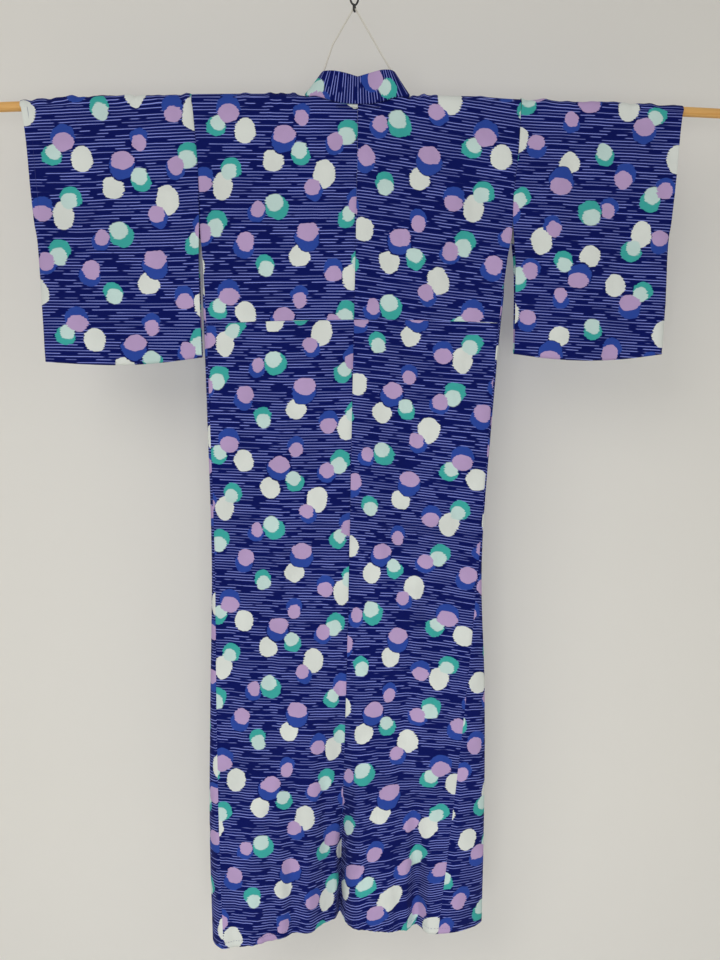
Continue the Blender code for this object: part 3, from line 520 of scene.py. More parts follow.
sleevePlan = {
    "outerDrop": (0.012, 0.060, 0.160, 0.270, 0.400, 0.510),
    "leftOuterX": (-0.6400, -0.6340, -0.6280, -0.6220, -0.6200, -0.6180),
    "rightOuterX": (0.6360, 0.6310, 0.6250, 0.6180, 0.6170, 0.6130),
    "innerDrop": (0.0, 0.23, 0.34, 0.51),
    "leftInnerX": (-0.3078, -0.3078, -0.3115, -0.3110), "rightInnerX": (0.3078, 0.3078, 0.3120, 0.3130),
    "hemAcross": (0.0, 0.25, 0.5, 0.75, 1.0),
    "leftHem": (0.497, 0.507, 0.512, 0.510, 0.505), "rightHem": (0.492, 0.502, 0.506, 0.503, 0.494),
    "restingY": (-0.0085, 0.0045), "waves": ((0.4, 1.6, 0.0016), (2.1, 2.6, 0.0010)),
    "columns": 64, "rows": 96, "arch": 14, "fineColumns": (0.004, 0.009, 0.99, 0.996), "fineRows": (0.992, 0.997),
    "closeWidth": 0.035, "bottomTurn": 0.012, "firstDrop": 0.012, "archLean": 0.0015,
    "seeds": {"left": 91, "right": 71},
}


def sleeveX(side, drop, across):
    sign = signs[side]
    inner = through(drop, sleevePlan["innerDrop"], sleevePlan[side + "InnerX"])
    outer = through(drop, sleevePlan["outerDrop"], sleevePlan[side + "OuterX"])
    inner = sign * (np.maximum(sign * inner, robe["halfBack"] + robe["seamGap"] / 2) + flared(side, drop))
    return inner + (outer - inner) * across


def sleeveLayers(drop, across):
    # the two layers leave the pole's arch and draw together lower down, both with the same soft waves
    settled = comes(drop, "sleeveSettles") * ease(across / 0.25 + comesBelow(drop, "sleeveInner"))
    wave = sum(depth * np.sin(2 * np.pi * waves * across + phase) for phase, waves, depth in sleevePlan["waves"])
    wave = wave * comes(drop, "sleeveWaves") * comes(across, "sleeveWavesAcross")
    layers = []
    for start, rest in zip((-robe["archRadius"], robe["archRadius"]), sleevePlan["restingY"]):
        start = start - sleevePlan["archLean"] * comes(drop, "sleeveArch")
        layers.append(start + (rest - start) * settled + wave)
    return layers


def buildSleeve(side):
    seed, first = sleevePlan["seeds"][side], sleevePlan["firstDrop"]
    across = np.linspace(0, 1, sleevePlan["columns"])
    across = np.sort(np.concatenate([across, sleevePlan["fineColumns"]]))[None, :]
    hem = through(across, sleevePlan["hemAcross"], sleevePlan[side + "Hem"])
    down = np.linspace(0.020, 1, sleevePlan["rows"]) ** 0.9
    down = np.sort(np.concatenate([down, sleevePlan["fineRows"]]))[:, None]
    drop = first + (hem - first) * down
    x = sleeveX(side, drop, across)
    rear, fore = sleeveLayers(drop, across)
    foot = clothTop(x) + robe["wall"] / 2 + robe["archRadius"] + 0.003
    # the layers meet at the hem's fold and, under the cuff's opening, at the outer edge
    middle, half = (rear + fore) / 2, (fore - rear) / 2
    toHem = np.clip((hem - drop) / sleevePlan["bottomTurn"], 0, 1)
    toEdge = np.clip((1 - across) / sleevePlan["closeWidth"], 0, 1)
    cuff = comesBelow(drop, "cuff")
    half = half * np.sqrt(1 - (1 - toHem) ** 2) * (1 - cuff + cuff * np.sqrt(1 - (1 - toEdge) ** 2))
    relief = wavesOf("sleeveLong", x, drop, seed) + wavesOf("sleeveCrease", x, drop, seed + 1)
    relief = relief + wavesOf("sleeveHem", x, drop, seed + 2) * hump(hem - drop, 0.03)
    relief = relief * comes(drop, "sleeveRelief")
    seamRoll = bodyGrid["rollIn"] * edgeRoll(across * 0.33) * (1 - comesBelow(drop, "sleeveSeam"))
    rear, fore = middle - half + relief + seamRoll, middle + half + relief - seamRoll
    gather = wavesOf("overPole", x, drop, seed + 4) * (1 - comes(drop, "sleeveGathers"))
    lowest = np.maximum(drop, foot)
    backSheet, frontSheet = toWorld(x, rear - gather, lowest), toWorld(x, fore + gather, lowest)
    angles = np.radians(np.linspace(0, 180, sleevePlan["arch"]))[:, None]
    archX = sleeveX(side, 0.0 * angles, across)
    archY, archDrop = archPoints(archX, angles, wavesOf("overPole", archX, 0 * archX, seed + 4))
    arch = toWorld(archX, archY, archDrop)
    backIndex = np.arange(drop.size).reshape(drop.shape)
    archIndex = backIndex.size + np.arange(archX.size).reshape(archX.shape)
    frontIndex = backIndex.size + archIndex.size + np.arange(drop.size).reshape(drop.shape)
    printed = gridFaces(np.vstack([backIndex[::-1], archIndex, frontIndex]))
    frontIndex[-1] = backIndex[-1]
    shut = drop[:, -1] > robe["armhole"] + belowArmhole["cuff"]
    frontIndex[shut, -1] = backIndex[shut, -1]
    faces = gridFaces(np.vstack([backIndex[::-1], archIndex, frontIndex]))
    u0, v0 = bolt[side + "Sleeve"]
    turned = -signs[side]
    overTop = robe["archRadius"] * (angles - np.pi / 2) + 0 * archX
    drift, start = (printDrift(side + "Sleeve", at, across) for at in (drop, np.zeros((1, 1))))
    layers = ((x, -drop, drift), (archX, overTop, start), (x, drop + robe["archGirth"], start))
    cloth = [np.stack([turned * (place - u0) + strayU, turned * (along - v0) + strayV], -1).reshape(-1, 2)
             for place, along, (strayU, strayV) in layers]
    far = bodyGrid["farFromEdge"]
    cuffAway = np.where(drop < robe["armhole"], np.minimum(np.abs(sleeveX(side, drop, 1.0) - x), far), far)
    edges = np.concatenate([cuffAway.ravel(), np.full(archX.size, far), cuffAway.ravel()])
    points = np.concatenate([p.reshape(-1, 3) for p in (backSheet, arch, frontSheet)])
    return points, faces, printed, np.concatenate(cloth), edges


okumiGrid = {"columns": 30, "rows": 190, "startBelowTip": 0.012, "seeds": {"left": 151, "right": 131}}


def collarSeamX(side, drop):
    # where the collar is sewn to the fronts: along the body's edge to the panel's tip, then down the panel
    sign = signs[side]
    upper = frontEdgeX(side, np.minimum(drop, robe["tip"] - 1e-6)) - sign * robe["seamGap"] / 2
    start = sign * front("rightSeamX", robe["tip"])
    along = (drop - robe["tip"]) / (robe["collarEnd"] - robe["tip"])
    return np.where(drop < robe["tip"], upper, start + (frontPlan["collarSeamEndX"][side] - start) * along)


def buildOkumi(side):
    sign, half, collarEnd = signs[side], okumiGrid["rows"] // 2, robe["collarEnd"]
    drop = np.concatenate([np.linspace(robe["tip"] + okumiGrid["startBelowTip"], collarEnd + 0.0005, half),
                           np.linspace(collarEnd + 0.0015, robe["hemDrop"], half)])[:, None]
    seam = front(side + "SeamX", drop) - sign * robe["seamGap"] / 2
    sewn = collarSeamX(side, drop) + sign * robe["seamGap"]
    edge = np.where(drop < collarEnd + 0.001, sewn, front(side + "EdgeX", drop))
    x = seam + (edge - seam) * np.linspace(0, 1, okumiGrid["columns"])[None, :]
    fromSeam = np.abs(x - seam)
    relief = clothRelief(fromSeam, drop, drop, okumiGrid["seeds"][side])
    relief = relief * comes(fromSeam, "reliefAtSide") * comes(np.abs(x - edge), "reliefAtEdge")
    y = frontY(x, drop + 0 * x, side) + relief * 0.6 - bodyGrid["rollIn"] * edgeRoll(fromSeam)
    points = toWorld(x, y, drop)
    girth = arcLength(points, 1)
    cloth = np.stack([girth + 0.05, drop + 0.03 + 0 * x], -1)
    far = bodyGrid["farFromEdge"]
    away = np.minimum(np.minimum(robe["hemDrop"] - drop, far), np.where(drop > collarEnd, np.abs(x - edge), far))
    faces = gridFaces(np.arange(x.size).reshape(x.shape))
    return points.reshape(-1, 3), faces, faces, cloth.reshape(-1, 2), away + 0 * x


collarPlan = {
    # its sewn edge and its free edge round the neck, from the centre back forward
    "seamX": (0.0000, 0.0280, 0.0560, 0.0800, 0.0965, 0.0988, 0.0988, 0.0975, 0.0948),
    "seamY": (-0.0165, -0.0165, -0.0168, -0.0165, -0.0125, -0.0060, 0.0050, 0.0130, 0.0168),
    "seamDrop": (0.0193, 0.0184, 0.0120, 0.0054, 0.0056, 0.0000, -0.0003, 0.0060, 0.0150),
    "rightEdgeX": (0.0000, 0.0230, 0.0450, 0.0610, 0.0690, 0.0715, 0.0695, 0.0610, 0.0455),
    "leftEdgeX": (0.0000, 0.0230, 0.0450, 0.0605, 0.0665, 0.0685, 0.0675, 0.0600, 0.0455),
    "edgeY": (-0.0190, -0.0192, -0.0188, -0.0165, -0.0080, 0.0020, 0.0120, 0.0195, 0.0205),
    "rightEdgeDrop": (-0.0270, -0.0335, -0.0395, -0.0410, -0.0415, -0.0420, -0.0390, -0.0310, -0.0010),
    "leftEdgeDrop": (-0.0270, -0.0335, -0.0375, -0.0380, -0.0390, -0.0385, -0.0350, -0.0280, -0.0010),
    "widths": (0.056, 0.066), "stations": 110, "frontStations": 150, "across": 12,
    "innerOffset": 0.0006, "outerOffset": 0.0023, "lift": 0.005,
}


def collarHalf(side):
    sign = signs[side]
    places = np.arange(len(collarPlan["seamX"]))
    at = np.linspace(0, places[-1], collarPlan["stations"])
    seamX, seamY, seamDrop, edgeX, edgeY, edgeDrop = (
        through(at, places, collarPlan[name])
        for name in ("seamX", "seamY", "seamDrop", side + "EdgeX", "edgeY", side + "EdgeDrop"))
    seam, edge = toWorld(sign * seamX, seamY, seamDrop), toWorld(sign * edgeX, edgeY, edgeDrop)
    last = robe["collarEnd"] - 0.002
    drops = 0.028 + (robe["collarEnd"] - 0.030) * np.linspace(0, 1, collarPlan["frontStations"]) ** 1.3
    drops = np.sort(np.append(drops[drops < last], [robe["overCollarEnd"], last]))
    seamX = collarSeamX(side, drops)
    slope = np.gradient(seamX, drops)
    narrow, wide = collarPlan["widths"]
    width = narrow + (wide - narrow) * comes(drops, "collarWidens")
    length = np.sqrt(1 + slope ** 2)
    edgeX, edgeDrop = seamX - sign * width / length, drops + sign * width * slope / length
    lift = collarPlan["lift"] * (1 - comes(drops, "collarLift"))
    frontSeam = toWorld(seamX, frontY(seamX, drops, side) + lift, drops)
    frontEdge = toWorld(edgeX, frontY(edgeX, np.maximum(edgeDrop, 0), side) + lift, edgeDrop)
    overLast = len(seam) + int(np.searchsorted(drops, robe["overCollarEnd"]))
    return np.concatenate([seam, frontSeam]), np.concatenate([edge, frontEdge]), overLast


def collarSheet(offset, kept):
    # a band folded along its free edge: out on one face, round the fold, and back on the other face
    rightSeam, rightEdge, _ = collarHalf("right")
    leftSeam, leftEdge, _ = collarHalf("left")
    seam, edge = np.concatenate([leftSeam[:0:-1], rightSeam]), np.concatenate([leftEdge[:0:-1], rightEdge])
    direction = (edge - seam) / np.linalg.norm(edge - seam, axis=1, keepdims=True)
    share = np.linspace(0, 1, collarPlan["across"])
    turn = np.radians(np.linspace(0, 180, 7))
    section = [(s, 1.0, 0.0) for s in share[:-1]] + [(1.0, np.cos(a), np.sin(a)) for a in turn]
    section += [(s, -1.0, 0.0) for s in share[:-1][::-1]]
    rings = []
    for across, face, beyond in section:
        along = np.gradient(seam + (edge - seam) * across, axis=0)
        normal = np.cross(along, edge - seam)
        normal = normal / np.linalg.norm(normal, axis=1, keepdims=True)
        rings.append(seam + (edge - seam) * across + (normal * face + direction * beyond) * offset)
    points = np.stack(rings, 1)[kept]
    length = arcLength((seam + edge) / 2, 0)
    length = length - length[len(leftSeam) - 1]
    width = arcLength(points, 1)
    along = (length[kept, None] - bolt["collarShift"]) / bolt["collarStretch"]
    cloth = np.stack([width - bolt["collarAcross"], bolt["collarAlong"] - along + 0 * width], -1)
    return points, cloth, np.minimum(width, bodyGrid["farFromEdge"])


def buildCollar(over):
    seam, _, overLast = collarHalf("right")
    short = len(seam) - overLast - 1 if over else 0
    kept = slice(short, 2 * len(seam) - 1 - short)
    offset = collarPlan["outerOffset"] if over else collarPlan["innerOffset"]
    points, cloth, edge = collarSheet(offset, kept)
    faces = gridFaces(np.arange(points.shape[0] * points.shape[1]).reshape(points.shape[:2]))
    return points.reshape(-1, 3), faces, faces, cloth.reshape(-1, 2), edge


clothWalls = {"collar": 0.0006, "over_collar": 0.0010}
clothShapes = {f"{part}_{side}": build(side) for part, build in
               (("body", buildBody), ("sleeve", buildSleeve), ("okumi", buildOkumi)) for side in ("left", "right")}
clothShapes.update(collar=buildCollar(False), over_collar=buildCollar(True))
clothPieces = {}
for node, (points, faces, printed, cloth, edge) in clothShapes.items():
    name = node.replace("_", " ").title().replace(" ", "")
    name = name[0].lower() + name[1:] + "Cloth"
    clothPieces[node] = clothPiece(name, points, faces, printed, cloth, edge, clothWalls.get(node, robe["wall"]))
print("cloth pieces:", len(clothPieces))

pole = {
    "radius": 0.009, "length": 1.50, "clearance": 0.0005, "rings": 220, "sides": 40,
    "endRound": 0.0012, "endRings": (0.0004, 0.0009, 0.0016), "waver": 0.00008,
}
cord = {
    "radius": 0.00175, "tieX": 0.084, "legs": {-1: ((0.0625, -0.052), (0.047, -0.094)), 1: ((0.0625, -0.052),)},
    "strands": 3, "strandRadius": 0.00098, "layRadius": 0.00082, "lay": 0.0105, "step": 0.0007, "sides": 8,
    "overHook": 0.005,
}
hook = {
    "wireRadius": 0.0019, "lowerEye": 0.0056, "lowerDrop": -0.1555, "turned": 72, "sides": 16, "step": 0.0006,
    "legDown": ((0.0070, 0.0, -0.0035), (0.0075, 0.0, -0.0100), (0.0074, 0.0, -0.0180),
                (0.0066, 0.0, -0.0245), (0.0034, 0.0006, -0.0298)),
    "legBack": ((-0.0034, -0.0006, -0.0298), (-0.0066, 0.0, -0.0245), (-0.0074, 0.0, -0.0160),
                (-0.0075, 0.0, -0.0061), (-0.0053, 0.0, -0.0008), (-0.0010, 0.0, 0.0013), (0.0030, 0.0, 0.0006)),
}


def resample(points, step):
    # even steps along a smooth curve through the points
    points = np.asarray(points, float)
    points = points[np.concatenate([[True], np.linalg.norm(np.diff(points, axis=0), axis=1) > 1e-6])]
    run = arcLength(points, 0)
    at = np.linspace(0, run[-1], int(run[-1] / step) + 2)
    return np.stack([through(at, run, points[:, i]) for i in range(3)], -1)


def frames(path):
    # two directions square to the path at each point, carried along it without twisting
    along = np.gradient(path, axis=0)
    along /= np.linalg.norm(along, axis=1, keepdims=True)
    first = np.cross(along[0], (0.3, 1.0, 0.2))
    side = [first / np.linalg.norm(first)]
    for direction in along[1:]:
        carried = side[-1] - direction * np.dot(side[-1], direction)
        side.append(carried / np.linalg.norm(carried))
    side = np.array(side)
    return side, np.cross(along, side)


def tubeMesh(path, radii, sides):
    # rings of the given radii round the path, closed at both ends
    side, other = frames(path)
    angle = np.linspace(0, 2 * np.pi, sides, endpoint=False)[None, :, None]
    circle = side[:, None] * np.cos(angle) + other[:, None] * np.sin(angle)
    rings = path[:, None] + circle * np.asarray(radii)[:, None, None]
    index = np.arange(len(path) * sides).reshape(len(path), sides)
    faces = gridFaces(np.hstack([index, index[:, :1]]))
    return rings.reshape(-1, 3), faces, [tuple(index[0]), tuple(index[-1][::-1])]


def rigidPiece(name, parts):
    mesh = bpy.data.meshes.new(name)
    points, faces, count = [], [], 0
    for part, quads, caps in parts:
        points.append(part)
        faces += (quads + count).tolist() + [[i + count for i in cap] for cap in caps]
        count += len(part)
    mesh.from_pydata(np.concatenate(points).tolist(), [], faces)
    mesh.validate()
    mesh.shade_smooth()
    return linked(name, mesh)


def poleDrop(x):
    return clothTop(x) + robe["wall"] + pole["clearance"] + pole["radius"]


def buildPole():
    # a turned rod: its radius wavers slightly, and its ends are eased by a quarter ellipse
    half, near = pole["length"] / 2, np.array(pole["endRings"])
    x = np.sort(np.concatenate([np.linspace(-half, half, pole["rings"]), near - half, half - near]))
    toEnd = np.clip((half - np.abs(x)) / near[-1], 0, 1)
    radii = pole["radius"] - pole["endRound"] * (1 - np.sqrt(1 - (1 - toEnd) ** 2))
    radii = radii - pole["waver"] * (1 + np.sin(37 * x) * np.sin(11 * x + 1))
    return rigidPiece("shoulderPole", [tubeMesh(toWorld(x, 0 * x, poleDrop(x)), radii, pole["sides"])])


def cordPath():
    # a turn round the pole, up through the collar's inside, over the hook's lower eye and down the same way
    reach = pole["radius"] + cord["radius"] + robe["seamGap"]
    apex = hook["lowerDrop"] - hook["wireRadius"] - cord["radius"] - robe["seamGap"]
    angles = np.linspace(-1.5 * np.pi, 0.5 * np.pi, 40)
    legs = []
    for sign in (-1, 1):
        tieX = sign * cord["tieX"]
        centre = poleDrop(tieX)
        turnX = tieX + sign * (2 * cord["radius"] + robe["seamGap"]) * np.linspace(1, 0, len(angles))
        turn = toWorld(turnX, reach * np.cos(angles), centre - reach * np.sin(angles))
        knots = np.array([(tieX - sign * 0.001, 0.0, centre - reach - 0.004),
                          *((sign * x, 0.0, drop) for x, drop in cord["legs"][sign]),
                          (robe["hookX"] + sign * 0.0044, 0.0, apex + 0.0034)])
        share = np.linspace(0, 1, 6)[:-1, None]
        run = np.concatenate([a + (b - a) * share for a, b in zip(knots, knots[1:])] + [knots[-1:]])
        legs.append(np.concatenate([turn, toWorld(run[:, 0], run[:, 1], run[:, 2])]))
    around = np.radians([-38, -19, 0, 19, 38])
    overX = robe["hookX"] + cord["overHook"] * np.sin(around)
    over = toWorld(overX, 0 * overX, apex + cord["overHook"] * (1 - np.cos(around)))
    return resample(np.concatenate([legs[0], over, legs[1][::-1]]), cord["step"])


def buildCord():
    # strands laid round the path, each a third of a turn from the next
    path = cordPath()
    side, other = frames(path)
    run = arcLength(path, 0)[:, None]
    parts = []
    for strand in range(cord["strands"]):
        angle = 2 * np.pi * (run / cord["lay"] + strand / cord["strands"])
        middle = path + cord["layRadius"] * (side * np.cos(angle) + other * np.sin(angle))
        parts.append(tubeMesh(middle, np.full(len(path), cord["strandRadius"]), cord["sides"]))
    return rigidPiece("hangingCord", parts)


def buildHook():
    # one bent wire: down one leg of the tall upper eye, round the small lower eye turned across the cord, and back
    # up the other leg, stopping short of where it began
    around = np.radians(np.linspace(70, -250, 30))
    turned, out = np.radians(hook["turned"]), hook["lowerEye"] * np.cos(around)
    lowerCentre = -robe["hookTop"] - hook["lowerDrop"] + hook["lowerEye"]
    height = lowerCentre + hook["lowerEye"] * np.sin(around)
    lower = np.stack([out * np.cos(turned), out * np.sin(turned), height], -1)
    path = resample(np.concatenate([hook["legDown"], lower, hook["legBack"]]), hook["step"])
    fromEnd = np.minimum(arcLength(path, 0), arcLength(path[::-1], 0)[::-1])
    radii = hook["wireRadius"] * np.sqrt(np.clip(fromEnd / 0.0012, 0.12, 1))
    return rigidPiece("wireHook", [tubeMesh(path, radii, hook["sides"])])


hardPieces = {"pole": buildPole(), "hanging_cord": buildCord(), "hook": buildHook()}
print("pole, cord and hook:", [len(piece.data.polygons) for piece in hardPieces.values()])

printColours = {   # as seen on a screen, 0 to 255
    "ground": (3, 16, 92), "line": (142, 153, 234), "white": (225, 229, 223), "darkBlue": (44, 73, 162),
    "lilac": (188, 160, 203), "teal": (62, 172, 165), "mint": (200, 225, 220), "gap": (3, 16, 92),
}
linePrint = {
    "pitch": 0.00572, "length": 0.034, "thickness": 0.125, "break": 0.36, "breakFade": 0.07, "softness": 0.06,
    "wobble": 0.0016, "wobbleStretch": (14.0, 60.0, 0.0), "rowStep": 7.31, "rowShuffle": 40.0,
}
# dots as millimetres on the bolt from the lilac dot at the repeat's corner: across, along, and both radii.
# They print in this order: a gap of plain ground is left between two of the white dots and the blue beside them
dotChart = {
    "white": ((31.4, 309, 20.5, 23.1), (86.7, 255.1, 20.7, 21.5), (139.8, 76.9, 20.6, 20.8),
              (186.9, 230, 21.5, 26.3), (244.5, 36.5, 18.9, 25.9)),
    "gap": ((106, 293.8, 26.7, 26.7), (155, 111.4, 26.1, 26.1)),
    "darkBlue": ((-0.7, 11.5, 22.4, 22.4), (141, 3.9, 17.2, 17.2), (105.3, 293.8, 23.8, 23.8),
                 (205.7, 284, 19.2, 19.2), (167.8, 197.8, 17.8, 17.8), (207.8, 53, 19, 19),
                 (54.9, 157, 17.5, 17.5), (29, 92.4, 19.8, 19.8), (155, 111.4, 24.9, 24.9)),
    "teal": ((232, 146.8, 18.2, 18.2), (140, 265.3, 18.8, 18.6), (5.4, 240.5, 19.8, 19.8),
             (233.6, 312, 20.2, 20.2), (94.4, 169, 23, 23), (70.8, 62, 18.2, 18.2)),
    "mint": ((236, 154.4, 14.5, 15.1), (137.2, 274, 16.3, 14.9), (1.5, 233.5, 15.1, 15.5),
             (230, 300.2, 17.3, 17.7), (90, 178.2, 18.3, 17.3), (73, 52.8, 16.1, 16.1)),
    "lilac": ((0, 1.3, 19.8, 16.6), (141.5, 333.6, 13.9, 15), (107.6, 302.9, 21.4, 16.2),
              (206.7, 290, 15, 16.6), (163.7, 205.6, 15.2, 15), (207.6, 41.8, 17, 14.8),
              (57.5, 165.2, 13, 15.2), (33, 104.6, 16.8, 17.8), (155.6, 123, 21.8, 17)),
}
# how ragged the dots' edges are: the noise's stretch, and how far it shifts the edge in metres
dotEdge = {
    "ragged": ((110.0, 380.0, 1.0), 1.0, (0.0085, 0.0022, 0.0)),
    "lumpy": ((55.0, 55.0, 55.0), 0.0, (0.006, 0.006, 0.0)),
    "fade": (1.03, 0.98), "mintFade": (1.02, 0.88),
}


def tone(colour):
    # screen values to light values
    c = np.array(colour) / 255
    return (*np.where(c <= 0.04045, c / 12.92, ((c + 0.055) / 1.055) ** 2.4).tolist(), 1.0)


def fill(socketOwner, place, value):
    if isinstance(value, bpy.types.NodeSocket):
        socketOwner.id_data.links.new(value, socketOwner.inputs[place])
    elif value is not None:
        socketOwner.inputs[place].default_value = value


def maths(tree, operation, *values):
    made = tree.nodes.new("ShaderNodeMath")
    made.operation = operation
    for place, value in enumerate(values):
        fill(made, place, value)
    return made.outputs[0]


def vectors(tree, operation, *values):
    made = tree.nodes.new("ShaderNodeVectorMath")
    made.operation = operation
    for place, value in enumerate(values):
        fill(made, place, value)
    return made.outputs["Value" if operation == "LENGTH" else 0]


def fade(tree, value, low, high, toLow=0.0, toHigh=1.0):
    made = tree.nodes.new("ShaderNodeMapRange")
    made.interpolation_type = "SMOOTHSTEP"
    for place, amount in enumerate((value, low, high, toLow, toHigh)):
        fill(made, place, amount)
    return made.outputs[0]


def blend(tree, factor, first, second, kind="MIX"):
    made = tree.nodes.new("ShaderNodeMix")
    made.data_type, made.blend_type = "RGBA", kind
    for place, value in ((0, factor), (6, first), (7, second)):
        fill(made, place, value)
    return made.outputs[2]


def noise(tree, vector, scale, detail=0.0, roughness=0.5):
    made = tree.nodes.new("ShaderNodeTexNoise")
    fill(made, "Vector", vector)
    for name, value in (("Scale", scale), ("Detail", detail), ("Roughness", roughness)):
        made.inputs[name].default_value = value
    return made


def stretched(tree, vector, factors):
    return vectors(tree, "MULTIPLY", vector, factors)


def combine(tree, x, y, z=0.0):
    made = tree.nodes.new("ShaderNodeCombineXYZ")
    for place, value in enumerate((x, y, z)):
        fill(made, place, value)
    return made.outputs[0]


def split(tree, vector):
    made = tree.nodes.new("ShaderNodeSeparateXYZ")
    fill(made, 0, vector)
    return made.outputs


def newGroup(name, inputs, outputs):
    tree = bpy.data.node_groups.new(name, "ShaderNodeTree")
    for label, kind in inputs:
        tree.interface.new_socket(label, in_out="INPUT", socket_type=kind)
    for label, kind in outputs:
        tree.interface.new_socket(label, in_out="OUTPUT", socket_type=kind)
    return tree, tree.nodes.new("NodeGroupInput").outputs, tree.nodes.new("NodeGroupOutput")


def repeated(dot):
    # every place of the dot that reaches into the strip from 0 to the half-drop width, one repeat high
    x, y, rx, ry = np.array(dot) / 1000
    wide, high = bolt["halfDropWidth"], bolt["repeat"]
    for i in range(-2, 3):
        for j in range(-4, 5):
            px, py = x + i * wide, y + i * high / 2 + j * high
            if -rx < px < wide + rx and -ry < py < high + ry:
                yield px, py, rx, ry


def makePrint():
    # bolt metres in, printed colour out: broken lines on the ground, then the dots in the order they were printed
    tree, given, out = newGroup("printedCloth", [("Bolt", "NodeSocketVector")], [("Color", "NodeSocketColor")])
    place = shifted = given["Bolt"]
    for stretch, detail, reach in (dotEdge["ragged"], dotEdge["lumpy"]):
        rough = noise(tree, stretched(tree, place, stretch), 1.0, detail).outputs["Color"]
        shift = vectors(tree, "MULTIPLY", vectors(tree, "SUBTRACT", rough, (0.5, 0.5, 0.5)), reach)
        shifted = vectors(tree, "ADD", shifted, shift)
    warped = split(tree, shifted)
    column = maths(tree, "FLOOR", maths(tree, "DIVIDE", warped[0], bolt["halfDropWidth"]))
    cellU = maths(tree, "SUBTRACT", warped[0], maths(tree, "MULTIPLY", column, bolt["halfDropWidth"]))
    dropped = maths(tree, "SUBTRACT", warped[1], maths(tree, "MULTIPLY", column, bolt["repeat"] / 2))
    cellV = maths(tree, "FLOORED_MODULO", dropped, bolt["repeat"])
    cell = combine(tree, cellU, cellV)

    plain = split(tree, place)
    wobble = noise(tree, stretched(tree, place, linePrint["wobbleStretch"]), 1.0).outputs[0]
    wavy = maths(tree, "ADD", plain[1], maths(tree, "MULTIPLY", wobble, linePrint["wobble"]))
    lineV = maths(tree, "DIVIDE", wavy, linePrint["pitch"])
    row = maths(tree, "FLOOR", lineV)
    random = tree.nodes.new("ShaderNodeTexWhiteNoise")
    random.noise_dimensions = "1D"
    fill(random, "W", row)
    along = combine(tree, maths(tree, "DIVIDE", plain[0], linePrint["length"]),
                    maths(tree, "MULTIPLY", row, linePrint["rowStep"]),
                    maths(tree, "MULTIPLY", random.outputs["Value"], linePrint["rowShuffle"]))
    broken = linePrint["break"]
    inked = fade(tree, noise(tree, along, 1.0).outputs[0], broken, broken + linePrint["breakFade"])
    fromLine = maths(tree, "ABSOLUTE", maths(tree, "SUBTRACT", maths(tree, "FRACT", lineV), 0.5))
    half = maths(tree, "MULTIPLY", inked, linePrint["thickness"])
    line = fade(tree, maths(tree, "SUBTRACT", half, fromLine), -linePrint["softness"], linePrint["softness"])
    line = maths(tree, "MULTIPLY", line, fade(tree, noise(tree, along, 0.35).outputs[0], 0.3, 0.6, 0.55, 1.0))
    line = maths(tree, "MULTIPLY", line, inked)
    colour = blend(tree, line, tone(printColours["ground"]), tone(printColours["line"]))
    for ink, dots in dotChart.items():
        nearest = 9.0
        for dot in dots:
            for x, y, rx, ry in repeated(dot):
                scaled = vectors(tree, "MULTIPLY_ADD", cell, (1 / rx, 1 / ry, 0.0), (-x / rx, -y / ry, 0.0))
                nearest = maths(tree, "MINIMUM", vectors(tree, "LENGTH", scaled), nearest)
        inside = fade(tree, nearest, *dotEdge["mintFade" if ink == "mint" else "fade"])
        colour = blend(tree, inside, colour, tone(printColours[ink]))
    fill(out, "Color", colour)
    return tree


weaveSizes = {"warp": 0.00062, "weft": 0.00070, "rib": 0.06, "slub": 0.10, "crease": 0.9, "height": 0.0006}
stitchSizes = {"length": 0.0028, "dash": (0.0014, 0.0009), "width": (0.0007, 0.0002), "colour": (70, 76, 150)}


def makeWeave():
    # plain weave as crossing ribs, with soft creases from folding; out goes a height in units of its own
    tree, given, out = newGroup("cottonWeave", [("Bolt", "NodeSocketVector"), ("Crease", "NodeSocketFloat")],
                                [("Height", "NodeSocketFloat"), ("Shade", "NodeSocketFloat")])
    place = given["Bolt"]
    xy = split(tree, place)
    warpRib, weftRib = (maths(tree, "SINE", maths(tree, "MULTIPLY", xy[i], 2 * np.pi / weaveSizes[thread]))
                        for i, thread in enumerate(("warp", "weft")))
    rib = maths(tree, "MULTIPLY", maths(tree, "MULTIPLY", warpRib, weftRib), weaveSizes["rib"])
    slub = noise(tree, stretched(tree, place, (90.0, 900.0, 1.0)), 1.0, 2.0).outputs[0]
    crease = noise(tree, stretched(tree, place, (60.0, 32.0, 1.0)), 1.0, 3.0, 0.55).outputs[0]
    total = maths(tree, "ADD", rib, maths(tree, "MULTIPLY", slub, weaveSizes["slub"]))
    fill(out, "Height", maths(tree, "ADD", total, maths(tree, "MULTIPLY", crease, given["Crease"])))
    fill(out, "Shade", fade(tree, noise(tree, place, 9.0, 3.0).outputs[0], 0.3, 0.7, 0.93, 1.03))
    return tree


def makeStitch():
    # running stitches at a set distance from a hemmed edge: 1 on the thread
    tree, given, out = newGroup("hemStitch", [("Bolt", "NodeSocketVector"), ("Edge", "NodeSocketFloat"),
                                              ("Inset", "NodeSocketFloat")], [("Mask", "NodeSocketFloat")])
    off = maths(tree, "ABSOLUTE", maths(tree, "SUBTRACT", given["Edge"], given["Inset"]))
    dash = maths(tree, "PINGPONG", split(tree, given["Bolt"])[0], stitchSizes["length"])
    across, along = fade(tree, off, *stitchSizes["width"]), fade(tree, dash, *stitchSizes["dash"])
    fill(out, "Mask", maths(tree, "MULTIPLY", across, along))
    return tree


groups = {"print": makePrint(), "weave": makeWeave(), "stitch": makeStitch()}


def newMaterial(name, **sockets):
    made = bpy.data.materials.new(name)
    made.use_nodes = True
    shader = made.node_tree.nodes["Principled BSDF"]
    for label, value in sockets.items():
        shader.inputs[label].default_value = value
    return made, made.node_tree, shader


